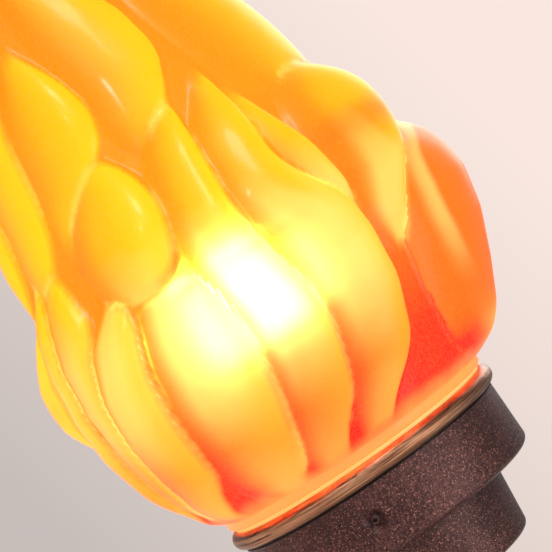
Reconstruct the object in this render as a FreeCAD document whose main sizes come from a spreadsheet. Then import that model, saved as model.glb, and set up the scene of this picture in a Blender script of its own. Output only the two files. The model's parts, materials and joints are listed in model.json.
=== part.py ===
import FreeCAD, Part
import Sketcher
import math
import os
import re

# Torch sconce: a flame-shaped glass shade on a stepped metal torch that leans out from a
# round wall plate on a short arm.
#
# The part's frame: the origin is the centre of the wall plate's back, +Y points into the
# wall, +Z is up and the torch leans out towards -Y.  Lengths are millimetres.
#
# Torch frame: z runs up the torch's axis from the middle of the lip ring, x stays level and
# y points back and up towards the wall.  Plate frame: z is the distance out from the wall,
# x is level and y is up.

SIZES = [
    # the stance
    ("torch_lean", 34.5, "lean of the torch from upright, in degrees"),
    ("arm_reach", 90, "wall to the torch's axis, at the clamp"),
    ("grip_depth", 155, "lip ring down to the clamp, along the torch"),
    ("fit_gap", 0.05, "radial play between a hole and what passes through it"),
    ("seat_gap", 0.3, "play under a piece that lifts off"),
    # lip ring and cup
    ("ring_overhang", 2.55, "lip ring, how far it stands out past the cup"),
    ("ring_height", 5.8, "lip ring, height of its half-round bead"),
    ("cup_radius", 47.45, "cup, outside"),
    ("cup_height", 22, "cup, height"),
    ("cup_wall", 3.6, "cup, side wall"),
    ("cup_floor", 2.5, "cup, floor"),
    ("cup_round", 2.6, "cup, rounding of its lower edge"),
    ("rim_groove", 0.7, "shadow line under the lip ring"),
    ("gasket_height", 1, "gasket under the glass"),
    ("gasket_width", 3, "gasket, ring width"),
    ("hole_overrun", 1, "cuts, how far they run past the wall they go through"),
    # stepped collar, neck and handle
    ("collar_top_radius", 34.4, "stepped collar, top"),
    ("collar_base_radius", 32.3, "stepped collar, bottom"),
    ("collar_height", 22.6, "stepped collar, height"),
    ("collar_wall", 3, "stepped collar, wall and floor"),
    ("collar_round", 2.4, "stepped collar, rounding of its lower edge"),
    ("neck_top_radius", 22, "neck, top"),
    ("neck_base_radius", 18.6, "neck, bottom"),
    ("neck_height", 12, "neck, height"),
    ("neck_land", 2.5, "neck, straight land above and below its hollow"),
    ("neck_cove", 9, "neck, radius of its hollow"),
    ("handle_top_radius", 16, "handle, top"),
    ("handle_length", 176, "handle, length"),
    ("handle_bore", 11, "handle, bore"),
    ("grip_radius", 12.5, "handle, where the clamp holds it"),
    ("grip_length", 44, "handle, straight stretch at the clamp"),
    ("tail_radius", 10, "handle, bottom"),
    ("tail_bore", 8.4, "handle, bore at the bottom"),
    ("plug_height", 8, "threaded plug in the handle's top"),
    ("bead_height", 4, "brass beads on the handle, height"),
    ("bead_width", 2.4, "brass beads on the handle, width"),
    ("bead_slack", 0.2, "play of the lower bead on the tapered tube"),
    ("finial_radius", 12, "tail finial, ball"),
    ("finial_land", 2.4, "tail finial, flat disc above the ball"),
    ("finial_waist", 7, "tail finial, radius of its waist"),
    ("finial_peg", 9, "tail finial, length of the peg in the handle"),
    # nipple and its nuts
    ("nipple_radius", 5, "threaded nipple, outside"),
    ("nipple_bore", 3.7, "threaded nipple, bore"),
    ("nipple_entry", 6, "threaded nipple, engagement in the lamp holder"),
    ("washer_radius", 9, "nipple washer"),
    ("washer_height", 1, "nipple washer, thickness"),
    ("nut_radius", 8, "nipple nut, across corners, half"),
    ("nut_height", 4, "nipple nut, thickness"),
    # lamp holder
    ("holder_radius", 19.5, "lamp holder, outside"),
    ("holder_wall", 2, "lamp holder, wall"),
    ("holder_cap_height", 11, "lamp holder, cap"),
    ("holder_cap_floor", 5, "lamp holder, floor of the cap"),
    ("holder_round", 5, "lamp holder, rounding of the cap"),
    ("holder_shell_height", 34, "lamp holder, sleeve"),
    ("insert_height", 8, "ceramic insert"),
    ("shell_wall", 0.5, "brass screw shell, wall"),
    ("shell_height", 25, "brass screw shell, height"),
    ("contact_height", 1.7, "centre contact"),
    ("contact_radius", 4, "centre contact"),
    ("post_radius", 2.2, "wire posts under the insert"),
    ("post_height", 3, "wire posts, height"),
    # lamp
    ("cap_radius", 13.3, "lamp cap, over its thread"),
    ("cap_height", 19.2, "lamp cap, height"),
    ("cap_thread", 0.5, "lamp cap, depth of its thread"),
    ("thread_pitch", 3.629, "lamp cap, pitch of its thread"),
    ("tip_radius", 4.5, "lamp's contact tip"),
    ("tip_height", 1.6, "lamp's contact tip"),
    ("insulator_radius", 9, "lamp's insulator, top"),
    ("insulator_height", 2.6, "lamp's insulator"),
    ("insulator_edge", 1, "lamp's insulator, beyond the tip and inside the cap"),
    ("housing_height", 21, "lamp's housing"),
    ("housing_foot", 3, "lamp's housing, straight stretch over the cap"),
    ("housing_overhang", 0.5, "lamp's housing, out past the cap"),
    ("housing_flare", 40, "lamp's housing, radius of its hollow flank"),
    ("globe_radius", 22.5, "lamp's diffuser"),
    ("globe_rise", 11.5, "diffuser's centre above the housing"),
    ("globe_wall", 1, "diffuser, wall"),
    ("housing_wall", 1.2, "lamp's housing, wall"),
    ("board_height", 1.6, "light board and driver board"),
    ("board_play", 1, "light board, inside the housing"),
    ("driver_width", 14, "driver board, width"),
    # screws that hold the glass
    ("glass_screws", 3, "count of the screws round the cup"),
    ("glass_screw_turn", -8.4, "first screw's place round the cup, in degrees"),
    ("glass_screw_drop", 13.3, "screws below the lip ring"),
    ("glass_screw_radius", 2, "screw, radius"),
    ("sink_radius", 4, "countersink in the cup, radius"),
    ("sink_depth", 1.5, "countersink in the cup, depth"),
    ("nub_radius", 1.5, "screw's raised nose in the countersink"),
    ("nub_length", 0.8, "screw's raised nose, length"),
    ("pad_radius", 1.5, "soft tip of a screw"),
    ("pad_length", 0.7, "soft tip of a screw"),
    ("peg_radius", 0.8, "peg of the soft tip"),
    ("peg_length", 1.2, "peg of the soft tip"),
    ("key_radius", 0.75, "key socket in the screw's nose"),
    # glass
    ("glass_play", 1.35, "glass, play of its neck inside the cup"),
    ("glass_neck_depth", 22, "glass, neck below the gasket"),
    ("glass_wall", 3, "glass, wall"),
    ("foot_inset", 1.4, "glass, foot inside the lip ring's edge"),
    ("foot_height", 3.2, "glass, straight foot"),
    ("flame_height", 268, "glass, lip ring to the tip"),
    ("flame_radius", 67, "glass, between the tongues at its widest"),
    ("tongue_relief", 7.5, "glass, how far a full tongue stands out"),
    ("flame_sway", 9, "glass, how far its upper part sways"),
    # wall plate and crossbar
    ("plate_radius", 60, "wall plate, outside"),
    ("plate_depth", 14, "wall plate, its rim step"),
    ("plate_wall", 1.5, "wall plate, sheet"),
    ("plate_round", 4, "wall plate, rounding of its edges"),
    ("step_radius", 37, "wall plate, inner step"),
    ("step_depth", 28, "wall plate, inner step's depth"),
    ("bar_half_length", 54, "crossbar, half its length"),
    ("bar_half_width", 12, "crossbar, half its width"),
    ("bar_thick", 2, "crossbar, thickness"),
    ("tab_half_width", 15, "crossbar's upper tab, half its width"),
    ("tab_height", 32, "crossbar's upper tab, above the middle"),
    ("slot_offset", 30, "wall screw slots, each side of the middle"),
    ("slot_radius", 2.3, "wall screw slots, half their width"),
    ("slot_length", 12, "wall screw slots, end to end"),
    ("stud_offset", 48, "plate studs, each side of the middle"),
    ("stud_radius", 2, "plate studs"),
    ("cap_nut_radius", 4.2, "cap nuts, across corners, half"),
    ("cap_nut_height", 3.4, "cap nuts, hexagon"),
    ("cap_nut_dome", 3.4, "cap nuts, radius of the dome"),
    ("earth_offset", 15, "earth screw, left of the middle"),
    ("earth_screw_radius", 2, "earth screw"),
    ("earth_head_radius", 3.8, "earth screw's head"),
    ("earth_head_height", 2.4, "earth screw's head"),
    ("earth_head_round", 1, "earth screw's head, rounding of its edge"),
    # terminal block
    ("block_half_width", 14, "terminal block, half its width"),
    ("block_height", 12, "terminal block, up the wall"),
    ("block_depth", 12, "terminal block, out from the crossbar"),
    ("block_base", 19, "terminal block's lower face above the middle"),
    ("way_pitch", 9, "terminal block, between its ways"),
    ("way_radius", 1.6, "terminal block, wire holes"),
    ("clamp_pin_radius", 1.7, "terminal screws"),
    ("clamp_pin_length", 4.1, "terminal screws"),
    ("clamp_pin_sink", 0.5, "terminal screws, below the block's face"),
    ("clamp_pin_offset", 3.2, "terminal screws, each side of the block's middle"),
    ("block_screw_radius", 1.2, "screw that holds the block"),
    ("block_head_radius", 2.2, "head of the screw that holds the block"),
    ("block_head_height", 1.2, "head of the screw that holds the block"),
    # arm and clamp
    ("arm_radius", 8, "arm tube, outside"),
    ("arm_bore", 6.4, "arm tube, bore"),
    ("arm_tail", 19, "arm tube's inner end, out from the wall"),
    ("rosette_radius", 15, "rosette on the plate"),
    ("rosette_height", 6, "rosette on the plate"),
    ("rosette_edge", 2, "rosette, its straight edge and its top land"),
    ("rosette_cove", 6, "rosette, radius of its hollow"),
    ("arm_nut_radius", 12, "arm nut, across corners, half"),
    ("arm_nut_height", 4.4, "arm nut, thickness"),
    ("arm_washer_radius", 13, "arm washer"),
    ("arm_washer_height", 1.2, "arm washer, thickness"),
    ("clamp_radius", 16.5, "clamp sleeve, outside"),
    ("clamp_length", 34, "clamp sleeve, length"),
    ("clamp_bead", 2, "clamp sleeve, beads at its ends"),
    ("socket_radius", 11.5, "clamp's arm socket, outside"),
    ("socket_reach", 34, "clamp's arm socket, out from the torch's axis"),
    ("socket_depth", 13, "arm's length inside its socket"),
    ("clamp_screw_radius", 2.5, "clamp screw"),
    ("clamp_screw_sink", 1, "clamp screw, below the sleeve's outside"),
    ("clamp_key_radius", 1.25, "clamp screw, key socket"),
    ("clamp_key_depth", 1.5, "clamp screw, depth of its key socket"),
    # leads
    ("lead_radius", 1, "leads"),
    ("lead_spread", 2.4, "leads, each side of the middle"),
    ("lead_bend", 15, "leads' bend from the arm into the handle"),
    ("lead_turn", 4.5, "leads' small bends behind the wall plate"),
    ("lead_turn_depth", 10, "leads' first bend, out from the wall"),
    ("lead_entry", 3.5, "leads, straight below the terminal block"),
    ("earth_entry", 5, "earth lead, straight below the terminal block"),
    ("earth_end", 2, "earth lead's end, below its screw's middle"),
    ("earth_rise", 6, "earth lead's first bend, above its screw's middle"),
    ("earth_bend", 5, "earth lead's bends"),
]

doc = FreeCAD.newDocument("torch_sconce")
sheet = doc.addObject("Spreadsheet::Sheet", "sizes")
for row, (alias, number, meaning) in enumerate(SIZES, start=1):
    sheet.set(f"A{row}", meaning)
    sheet.set(f"B{row}", str(number))
    sheet.setAlias(f"B{row}", alias)
doc.recompute()

pieces = []


# ---------------------------------------------------------------- names and frames

def bound(text):
    """The expression with each size name pointing at its cell."""
    return re.sub(r"\b([a-z]+(?:_[a-z]+)+)\b", r"sizes.\1", text)


def value(text):
    """The expression's number, from the sheet."""
    return float(sheet.evalExpression(bound(text)))


def frame(x="0", y="0", z="0", axis="1;0;0", turn="0"):
    """A placement, written as an expression."""
    return f"placement(vector({x}; {y}; {z}); rotation(vector({axis}); {turn}))"


def placed(thing, place):
    """Bind the thing's placement to an expression."""
    thing.setExpression("Placement", bound(place))
    return thing


def piece(label, thing):
    """Name a sub-part and keep it for writing out."""
    thing.Label = label
    pieces.append(thing)
    return thing


GRIP = frame(y="-arm_reach", turn="torch_lean")
TORCH = GRIP + " * " + frame(z="grip_depth")
PLATE = frame(turn="90")

# heights in the torch frame
RING_TOP = "ring_height / 2"
CUP_TOP = "-ring_height / 2"
CUP_BASE = f"{CUP_TOP} - cup_height"
CUP_INSIDE = f"{CUP_BASE} + cup_floor"
COLLAR_BASE = f"{CUP_BASE} - collar_height"
NECK_BASE = f"{COLLAR_BASE} - neck_height"
PLUG_BASE = f"{NECK_BASE} - plug_height"
HANDLE_BASE = f"{NECK_BASE} - handle_length"
NUT_BASE = f"{CUP_INSIDE} + washer_height"
HOLDER_BASE = f"{NUT_BASE} + nut_height"
HOLDER_SEAM = f"{HOLDER_BASE} + holder_cap_height"
INSERT_TOP = f"{HOLDER_SEAM} + insert_height"
LAMP_TIP = f"{INSERT_TOP} + contact_height + seat_gap"
INSULATOR_BASE = f"{LAMP_TIP} + tip_height"
CAP_BASE = f"{INSULATOR_BASE} + insulator_height"
CAP_TOP = f"{CAP_BASE} + cap_height"
HOUSING_TOP = f"{CAP_TOP} + housing_height"
GLOBE_MIDDLE = f"{HOUSING_TOP} + globe_rise"
GASKET_TOP = f"{RING_TOP} + gasket_height"
GLASS_BASE = f"{GASKET_TOP} + seat_gap"

# radii that follow from others
CUP_BORE = "cup_radius - cup_wall"
RING_RADIUS = "cup_radius + ring_overhang"
GLASS_NECK_RADIUS = "cup_radius - cup_wall - glass_play"
FOOT_RADIUS = "cup_radius + ring_overhang - foot_inset"
NIPPLE_HOLE = "nipple_radius + fit_gap"
SHELL_BORE = "cap_radius + 2 * fit_gap"
HOUSING_RADIUS = "sqrt(globe_radius^2 - globe_rise^2)"


# ---------------------------------------------------------------- ways of making a piece

def origin_plane(body, role):
    return next(plane for plane in body.Origin.OriginFeatures if plane.Role == role)


def sketch_on(body, name, role, offset=None):
    """An empty sketch on one of the body's own origin planes."""
    sketch = body.newObject("Sketcher::SketchObject", name)
    sketch.AttachmentSupport = [(origin_plane(body, role), "")]
    sketch.MapMode = "FlatFace"
    if offset:
        sketch.setExpression("AttachmentOffset", bound(offset))
    return sketch


def bend(start, end, radius):
    """Middle of an arc between two points; a positive radius bulges right of the way along."""
    half = (end - start) / 2
    reach = math.sqrt(max(radius * radius - half.Length ** 2, 0.0))
    sag = abs(radius) - reach
    side = FreeCAD.Vector(half.y, -half.x, 0).normalize()
    return start + half + side * math.copysign(sag, radius)


def pin_point(sketch, edge, end, across, up):
    """Fix one end of an edge at a place given by two expressions."""
    for kind, text in (("DistanceX", across), ("DistanceY", up)):
        constraint = sketch.addConstraint(Sketcher.Constraint(kind, -1, 1, edge, end, value(text)))
        sketch.setExpression(f"Constraints[{constraint}]", bound(text))


def outline(sketch, points):
    """A closed outline.  A point is (across, up), or (across, up, radius) where an arc follows."""
    corners = [FreeCAD.Vector(value(point[0]), value(point[1]), 0) for point in points]
    first = sketch.GeometryCount
    ends = []
    for index, point in enumerate(points):
        start, end = corners[index], corners[(index + 1) % len(points)]
        if len(point) == 2:
            sketch.addGeometry(Part.LineSegment(start, end))
            ends.append((1, 2))
            continue
        radius = value(point[2])
        middle = bend(start, end, radius)
        turns_left = radius > 0
        arc = Part.Arc(start, middle, end) if turns_left else Part.Arc(end, middle, start)
        edge = sketch.addGeometry(arc)
        ends.append((1, 2) if turns_left else (2, 1))
        size = sketch.addConstraint(Sketcher.Constraint("Radius", edge, abs(radius)))
        sketch.setExpression(f"Constraints[{size}]", bound(point[2].lstrip("-")))
    for index, point in enumerate(points):
        edge, before = first + index, first + (index - 1) % len(points)
        start, end_before = ends[index][0], ends[index - 1][1]
        sketch.addConstraint(Sketcher.Constraint("Coincident", before, end_before, edge, start))
        pin_point(sketch, edge, start, point[0], point[1])
    return sketch


def ring_of(sketch, across, up, radius):
    """A circle in a sketch, its centre and radius bound to expressions."""
    centre = FreeCAD.Vector(value(across), value(up), 0)
    edge = sketch.addGeometry(Part.Circle(centre, FreeCAD.Vector(0, 0, 1), value(radius)))
    pin_point(sketch, edge, 3, across, up)
    size = sketch.addConstraint(Sketcher.Constraint("Radius", edge, value(radius)))
    sketch.setExpression(f"Constraints[{size}]", bound(radius))


def turned(label, place, points):
    """A body turned about its own z from an outline of (radius, height) points."""
    body = doc.addObject("PartDesign::Body", label)
    profile = outline(sketch_on(body, label + "_profile", "XZ_Plane"), points)
    turn = body.newObject("PartDesign::Revolution", label + "_turn")
    turn.Profile = profile
    turn.ReferenceAxis = (profile, ["V_Axis"])
    turn.Angle = 360
    return placed(body, place)


def tube(label, place, inner, outer, base, top):
    """A plain ring or tube."""
    return turned(label, place, [(inner, base), (outer, base), (outer, top), (inner, top)])


def disc(label, place, radius, base, top):
    """A solid round."""
    return tube(label, place, "0", radius, base, top)


def padded(label, place, points, thick):
    """A flat plate cut to an outline, its thickness along z."""
    body = doc.addObject("PartDesign::Body", label)
    profile = outline(sketch_on(body, label + "_outline", "XY_Plane"), points)
    pad = body.newObject("PartDesign::Pad", label + "_pad")
    pad.Profile = profile
    pad.setExpression("Length", bound(thick))
    return placed(body, place)


def pocket(body, name, sketch):
    """Cut a sketch right through the body, both ways from its plane."""
    cut = body.newObject("PartDesign::Pocket", name)
    cut.Profile = sketch
    cut.Type = "ThroughAll"
    cut.Midplane = True
    return cut


def rod(name, place, radius, length):
    """A round bar along its own z."""
    bar = doc.addObject("Part::Cylinder", name)
    bar.setExpression("Radius", bound(radius))
    bar.setExpression("Height", bound(length))
    return placed(bar, place)


def hexagon(name, place, radius, height):
    """A six-sided bar along its own z, its radius measured to the corners."""
    bar = doc.addObject("Part::Prism", name)
    bar.Polygon = 6
    bar.setExpression("Circumradius", bound(radius))
    bar.setExpression("Height", bound(height))
    return placed(bar, place)


def joined(name, shapes):
    fuse = doc.addObject("Part::MultiFuse", name)
    fuse.Shapes = shapes
    return fuse


def drilled(name, base, tool):
    cut = doc.addObject("Part::Cut", name)
    cut.Base = base
    cut.Tool = tool
    return cut


def group(name, shapes):
    """Several separate solids kept as one piece."""
    together = doc.addObject("Part::Compound", name)
    together.Links = shapes
    return together


def nut(label, place, radius, bore, height):
    body = hexagon(label + "_hexagon", place, radius, height)
    hole = rod(label + "_hole", place, bore, height)
    return drilled(label, body, hole)


# ---------------------------------------------------------------- head of the torch

def make_lip_ring():
    bead = "ring_height / 2"
    flank = f"{RING_RADIUS} - {bead}"
    ring = turned("lip_ring", TORCH, [
        (CUP_BORE, CUP_TOP),
        (flank, CUP_TOP, bead),
        (RING_RADIUS, "0", bead),
        (flank, RING_TOP),
        (CUP_BORE, RING_TOP),
    ])
    piece("lip_ring", ring)


def make_head_cup():
    cup = turned("head_cup", TORCH, [
        (NIPPLE_HOLE, CUP_BASE),
        ("cup_radius - cup_round", CUP_BASE, "cup_round"),
        ("cup_radius", f"{CUP_BASE} + cup_round"),
        ("cup_radius", f"{CUP_TOP} - rim_groove"),
        ("cup_radius - rim_groove", f"{CUP_TOP} - rim_groove"),
        ("cup_radius - rim_groove", CUP_TOP),
        (CUP_BORE, CUP_TOP),
        (CUP_BORE, CUP_INSIDE),
        (NIPPLE_HOLE, CUP_INSIDE),
    ])
    # one countersunk hole, turned about its own level axis, then repeated round the cup
    level = "-glass_screw_drop"
    hole = sketch_on(cup, "screw_hole", "XZ_Plane", frame(axis="0;1;0", turn="glass_screw_turn"))
    outline(hole, [
        (f"{CUP_BORE} - hole_overrun", level),
        (f"{CUP_BORE} - hole_overrun", f"{level} - glass_screw_radius - fit_gap"),
        ("cup_radius - sink_depth", f"{level} - glass_screw_radius - fit_gap"),
        ("cup_radius", f"{level} - sink_radius"),
        ("cup_radius + hole_overrun", f"{level} - sink_radius"),
        ("cup_radius + hole_overrun", level),
    ])
    centre_line = hole.GeometryCount - 1
    groove = cup.newObject("PartDesign::Groove", "screw_hole_cut")
    groove.Profile = hole
    groove.ReferenceAxis = (hole, [f"Edge{centre_line + 1}"])
    groove.Angle = 360
    around = cup.newObject("PartDesign::PolarPattern", "screw_holes")
    around.Originals = [groove]
    around.Axis = (hole, ["V_Axis"])
    around.Angle = 360
    around.setExpression("Occurrences", bound("glass_screws"))
    cup.Tip = around
    piece("head_cup", cup)


def make_stepped_collar():
    inside = f"{COLLAR_BASE} + collar_wall"
    collar = turned("stepped_collar", TORCH, [
        (NIPPLE_HOLE, COLLAR_BASE),
        ("collar_base_radius - collar_round", COLLAR_BASE, "collar_round"),
        ("collar_base_radius", f"{COLLAR_BASE} + collar_round"),
        ("collar_top_radius", CUP_BASE),
        ("collar_top_radius - collar_wall", CUP_BASE),
        ("collar_base_radius - collar_wall", inside),
        (NIPPLE_HOLE, inside),
    ])
    piece("stepped_collar", collar)


def make_neck():
    neck = turned("neck_collar", TORCH, [
        (NIPPLE_HOLE, NECK_BASE),
        ("neck_base_radius", NECK_BASE),
        ("neck_base_radius", f"{NECK_BASE} + neck_land", "-neck_cove"),
        ("neck_top_radius", f"{COLLAR_BASE} - neck_land"),
        ("neck_top_radius", COLLAR_BASE),
        (NIPPLE_HOLE, COLLAR_BASE),
    ])
    piece("neck_collar", neck)


def make_gasket():
    outer = f"{CUP_BORE} + gasket_width"
    piece("glass_gasket", tube("glass_gasket", TORCH, CUP_BORE, outer, RING_TOP, GASKET_TOP))


# ---------------------------------------------------------------- handle

def bead(label, inner, base):
    """A half-round brass bead round the handle."""
    half = "bead_height / 2"
    middle = f"{base} + {half}"
    top = f"{base} + bead_height"
    flank = f"{inner} + bead_width - {half}"
    ring = turned(label, TORCH, [
        (inner, base),
        (flank, base, half),
        (f"{inner} + bead_width", middle, half),
        (flank, top),
        (inner, top),
    ])
    piece(label, ring)


def make_handle():
    grip_top = "-grip_depth + grip_length / 2"
    grip_base = "-grip_depth - grip_length / 2"
    handle = turned("handle_tube", TORCH, [
        ("tail_bore", HANDLE_BASE),
        ("tail_radius", HANDLE_BASE),
        ("grip_radius", grip_base),
        ("grip_radius", grip_top),
        ("handle_top_radius", NECK_BASE),
        ("handle_bore", NECK_BASE),
        ("handle_bore", grip_base),
        ("tail_bore", f"{HANDLE_BASE} + finial_peg"),
    ])
    # the leads come in level from the arm, so their hole slants through the leaning tube
    entry = frame(y="-grip_depth", turn="-torch_lean")
    hole = sketch_on(handle, "lead_hole", "XZ_Plane", entry)
    ring_of(hole, "0", "0", "arm_bore")
    cut = handle.newObject("PartDesign::Pocket", "lead_hole_cut")
    cut.Profile = hole
    cut.setExpression("Length", bound("grip_radius / cos(torch_lean) + arm_bore"))
    piece("handle_tube", handle)

    plug_radius = "handle_bore - fit_gap"
    piece("handle_plug", tube("handle_plug", TORCH, NIPPLE_HOLE, plug_radius, PLUG_BASE, NECK_BASE))
    bead("neck_bead", "handle_top_radius + fit_gap", f"{NECK_BASE} - bead_height")
    bead("tail_bead", "tail_radius + bead_slack", HANDLE_BASE)


def make_finial():
    peg = "tail_bore - fit_gap"
    disc_base = f"{HANDLE_BASE} - finial_land"
    ball = f"{disc_base} - finial_land - sqrt(finial_radius^2 - finial_waist^2)"
    finial = turned("tail_finial", TORCH, [
        ("0", f"{ball} - finial_radius", "finial_radius"),
        ("finial_radius", ball, "finial_radius"),
        ("finial_waist", f"{disc_base} - finial_land"),
        ("finial_waist", disc_base),
        ("tail_radius + bead_width", disc_base),
        ("tail_radius + bead_width", HANDLE_BASE),
        (peg, HANDLE_BASE),
        (peg, f"{HANDLE_BASE} + finial_peg - fit_gap"),
        ("0", f"{HANDLE_BASE} + finial_peg - fit_gap"),
    ])
    piece("tail_finial", finial)


# ---------------------------------------------------------------- nipple and lamp holder

def make_nipple():
    top = f"{HOLDER_BASE} + nipple_entry"
    tube_part = tube("threaded_nipple", TORCH, "nipple_bore", "nipple_radius", PLUG_BASE, top)
    piece("threaded_nipple", tube_part)
    washer = tube("nipple_washer", TORCH, NIPPLE_HOLE, "washer_radius", CUP_INSIDE, NUT_BASE)
    piece("nipple_washer", washer)
    place = TORCH + " * " + frame(z=NUT_BASE)
    piece("nipple_nut", nut("nipple_nut", place, "nut_radius", NIPPLE_HOLE, "nut_height"))


def make_lamp_holder():
    inner = "holder_radius - holder_wall"
    floor = f"{HOLDER_BASE} + holder_cap_floor"
    cap = turned("holder_cap", TORCH, [
        (NIPPLE_HOLE, HOLDER_BASE),
        ("holder_radius - holder_round", HOLDER_BASE, "holder_round"),
        ("holder_radius", f"{HOLDER_BASE} + holder_round"),
        ("holder_radius", HOLDER_SEAM),
        (inner, HOLDER_SEAM),
        (inner, floor),
        (NIPPLE_HOLE, floor),
    ])
    piece("holder_cap", cap)

    mouth = f"{SHELL_BORE} + shell_wall + fit_gap"
    top = f"{HOLDER_SEAM} + holder_shell_height"
    sleeve = turned("holder_sleeve", TORCH, [
        (inner, HOLDER_SEAM),
        ("holder_radius", HOLDER_SEAM),
        ("holder_radius", f"{top} - holder_wall", "holder_wall"),
        (inner, top),
        (mouth, top),
        (mouth, f"{top} - holder_wall"),
        (inner, f"{top} - holder_wall"),
    ])
    piece("holder_sleeve", sleeve)

    insert = disc("holder_insert", TORCH, f"{inner} - fit_gap", HOLDER_SEAM, INSERT_TOP)
    piece("holder_insert", insert)
    shell_top = f"{INSERT_TOP} + shell_height"
    shell = tube("screw_shell", TORCH, SHELL_BORE, f"{SHELL_BORE} + shell_wall", INSERT_TOP, shell_top)
    piece("screw_shell", shell)
    contact = turned("centre_contact", TORCH, [
        ("0", INSERT_TOP),
        ("contact_radius", INSERT_TOP),
        ("contact_radius", f"{INSERT_TOP} + contact_height / 2"),
        ("contact_radius / 2", f"{INSERT_TOP} + contact_height"),
        ("0", f"{INSERT_TOP} + contact_height"),
    ])
    piece("centre_contact", contact)

    posts = []
    for side in (-1, 1):
        place = TORCH + " * " + frame(x=f"{side} * lead_spread", z=f"{HOLDER_SEAM} - post_height")
        name = f"post_{'left' if side < 0 else 'right'}"
        post = rod(name, place, "post_radius", "post_height")
        bore = rod(name + "_bore", place, "lead_radius + fit_gap", "post_height")
        posts.append(drilled(name + "_ring", post, bore))
    piece("holder_posts", group("holder_posts", posts))


# ---------------------------------------------------------------- lamp

def make_lamp():
    piece("lamp_tip", disc("lamp_tip", TORCH, "tip_radius", LAMP_TIP, INSULATOR_BASE))
    piece("lamp_insulator", turned("lamp_insulator", TORCH, [
        ("0", INSULATOR_BASE),
        ("tip_radius + insulator_edge", INSULATOR_BASE),
        ("insulator_radius", f"{CAP_BASE} - fit_gap"),
        ("0", f"{CAP_BASE} - fit_gap"),
    ]))

    # the rolled thread stands as rounded rings, one to each pitch
    rings = int(value("cap_height") / value("thread_pitch"))
    points = [("0", CAP_BASE), ("insulator_radius + insulator_edge", CAP_BASE)]
    for ring in range(rings):
        valley = f"{CAP_BASE} + {ring} * thread_pitch + thread_pitch / 4"
        points.append(("cap_radius - cap_thread", valley, "thread_pitch"))
        points.append(("cap_radius", f"{valley} + thread_pitch / 2", "thread_pitch"))
    points.append(("cap_radius - cap_thread", f"{CAP_BASE} + {rings} * thread_pitch + thread_pitch / 4"))
    points.append(("cap_radius - cap_thread", CAP_TOP))
    points.append(("0", CAP_TOP))
    piece("lamp_cap", turned("lamp_cap", TORCH, points))

    narrow = "cap_radius + housing_overhang"
    housing = turned("lamp_housing", TORCH, [
        ("0", CAP_TOP),
        (narrow, CAP_TOP),
        (narrow, f"{CAP_TOP} + housing_foot", "-housing_flare"),
        (HOUSING_RADIUS, HOUSING_TOP),
        (f"{HOUSING_RADIUS} - housing_wall", HOUSING_TOP),
        (f"{narrow} - housing_wall", f"{CAP_TOP} + housing_foot"),
        (f"{narrow} - housing_wall", f"{CAP_TOP} + housing_wall"),
        ("0", f"{CAP_TOP} + housing_wall"),
    ])
    piece("lamp_housing", housing)

    diffuser = turned("lamp_diffuser", TORCH, [
        (HOUSING_RADIUS, HOUSING_TOP, "globe_radius"),
        ("globe_radius", GLOBE_MIDDLE, "globe_radius"),
        ("0", f"{GLOBE_MIDDLE} + globe_radius"),
        ("0", f"{GLOBE_MIDDLE} + globe_radius - globe_wall", "-(globe_radius - globe_wall)"),
        ("globe_radius - globe_wall", GLOBE_MIDDLE, "-(globe_radius - globe_wall)"),
        ("sqrt((globe_radius - globe_wall)^2 - globe_rise^2)", HOUSING_TOP),
    ])
    piece("lamp_diffuser", diffuser)

    board_base = f"{HOUSING_TOP} - board_height"
    board_radius = f"{HOUSING_RADIUS} - housing_wall - board_play"
    board = disc("light_board", TORCH, board_radius, board_base, HOUSING_TOP)
    piece("light_board", board)
    driver = doc.addObject("Part::Box", "driver_board")
    driver.setExpression("Length", bound("driver_width"))
    driver.setExpression("Width", bound("board_height"))
    driver.setExpression("Height", bound("housing_height - housing_wall - board_height"))
    corner = frame(x="-driver_width / 2", y="-board_height / 2", z=f"{CAP_TOP} + housing_wall")
    piece("driver_board", placed(driver, TORCH + " * " + corner))


# ---------------------------------------------------------------- screws that hold the glass

def make_glass_screws():
    """Each screw lies on its own z, which points out through the cup's wall."""
    pad_face = f"{GLASS_NECK_RADIUS} + seat_gap"
    shoulder = f"{pad_face} + pad_length"
    screw_end = f"{shoulder} + fit_gap"
    nose = "cup_radius - sink_depth + nub_length"
    for number in range(1, int(value("glass_screws")) + 1):
        turn = f"glass_screw_turn + {number - 1} * 360 / glass_screws"
        place = " * ".join([
            TORCH,
            frame(axis="0;0;1", turn=turn),
            frame(z="-glass_screw_drop", axis="0;1;0", turn="90"),
        ])
        tip = turned(f"screw_pad_{number}", place, [
            ("0", pad_face),
            ("pad_radius", pad_face),
            ("pad_radius", shoulder),
            ("peg_radius", shoulder),
            ("peg_radius", f"{shoulder} + peg_length"),
            ("0", f"{shoulder} + peg_length"),
        ])
        piece(f"screw_pad_{number}", tip)
        screw = turned(f"glass_screw_{number}", place, [
            ("peg_radius + fit_gap", screw_end),
            ("glass_screw_radius", screw_end),
            ("glass_screw_radius", f"{nose} - nub_length"),
            ("nub_radius", f"{nose} - nub_length"),
            ("nub_radius", f"{nose} - nub_length / 2", "nub_radius"),
            ("key_radius", nose),
            ("key_radius", f"{nose} - nub_length"),
            ("0", f"{nose} - nub_length"),
            ("0", f"{shoulder} + peg_length + fit_gap"),
            ("peg_radius + fit_gap", f"{shoulder} + peg_length + fit_gap"),
        ])
        piece(f"glass_screw_{number}", screw)


# ---------------------------------------------------------------- glass flame

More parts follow.
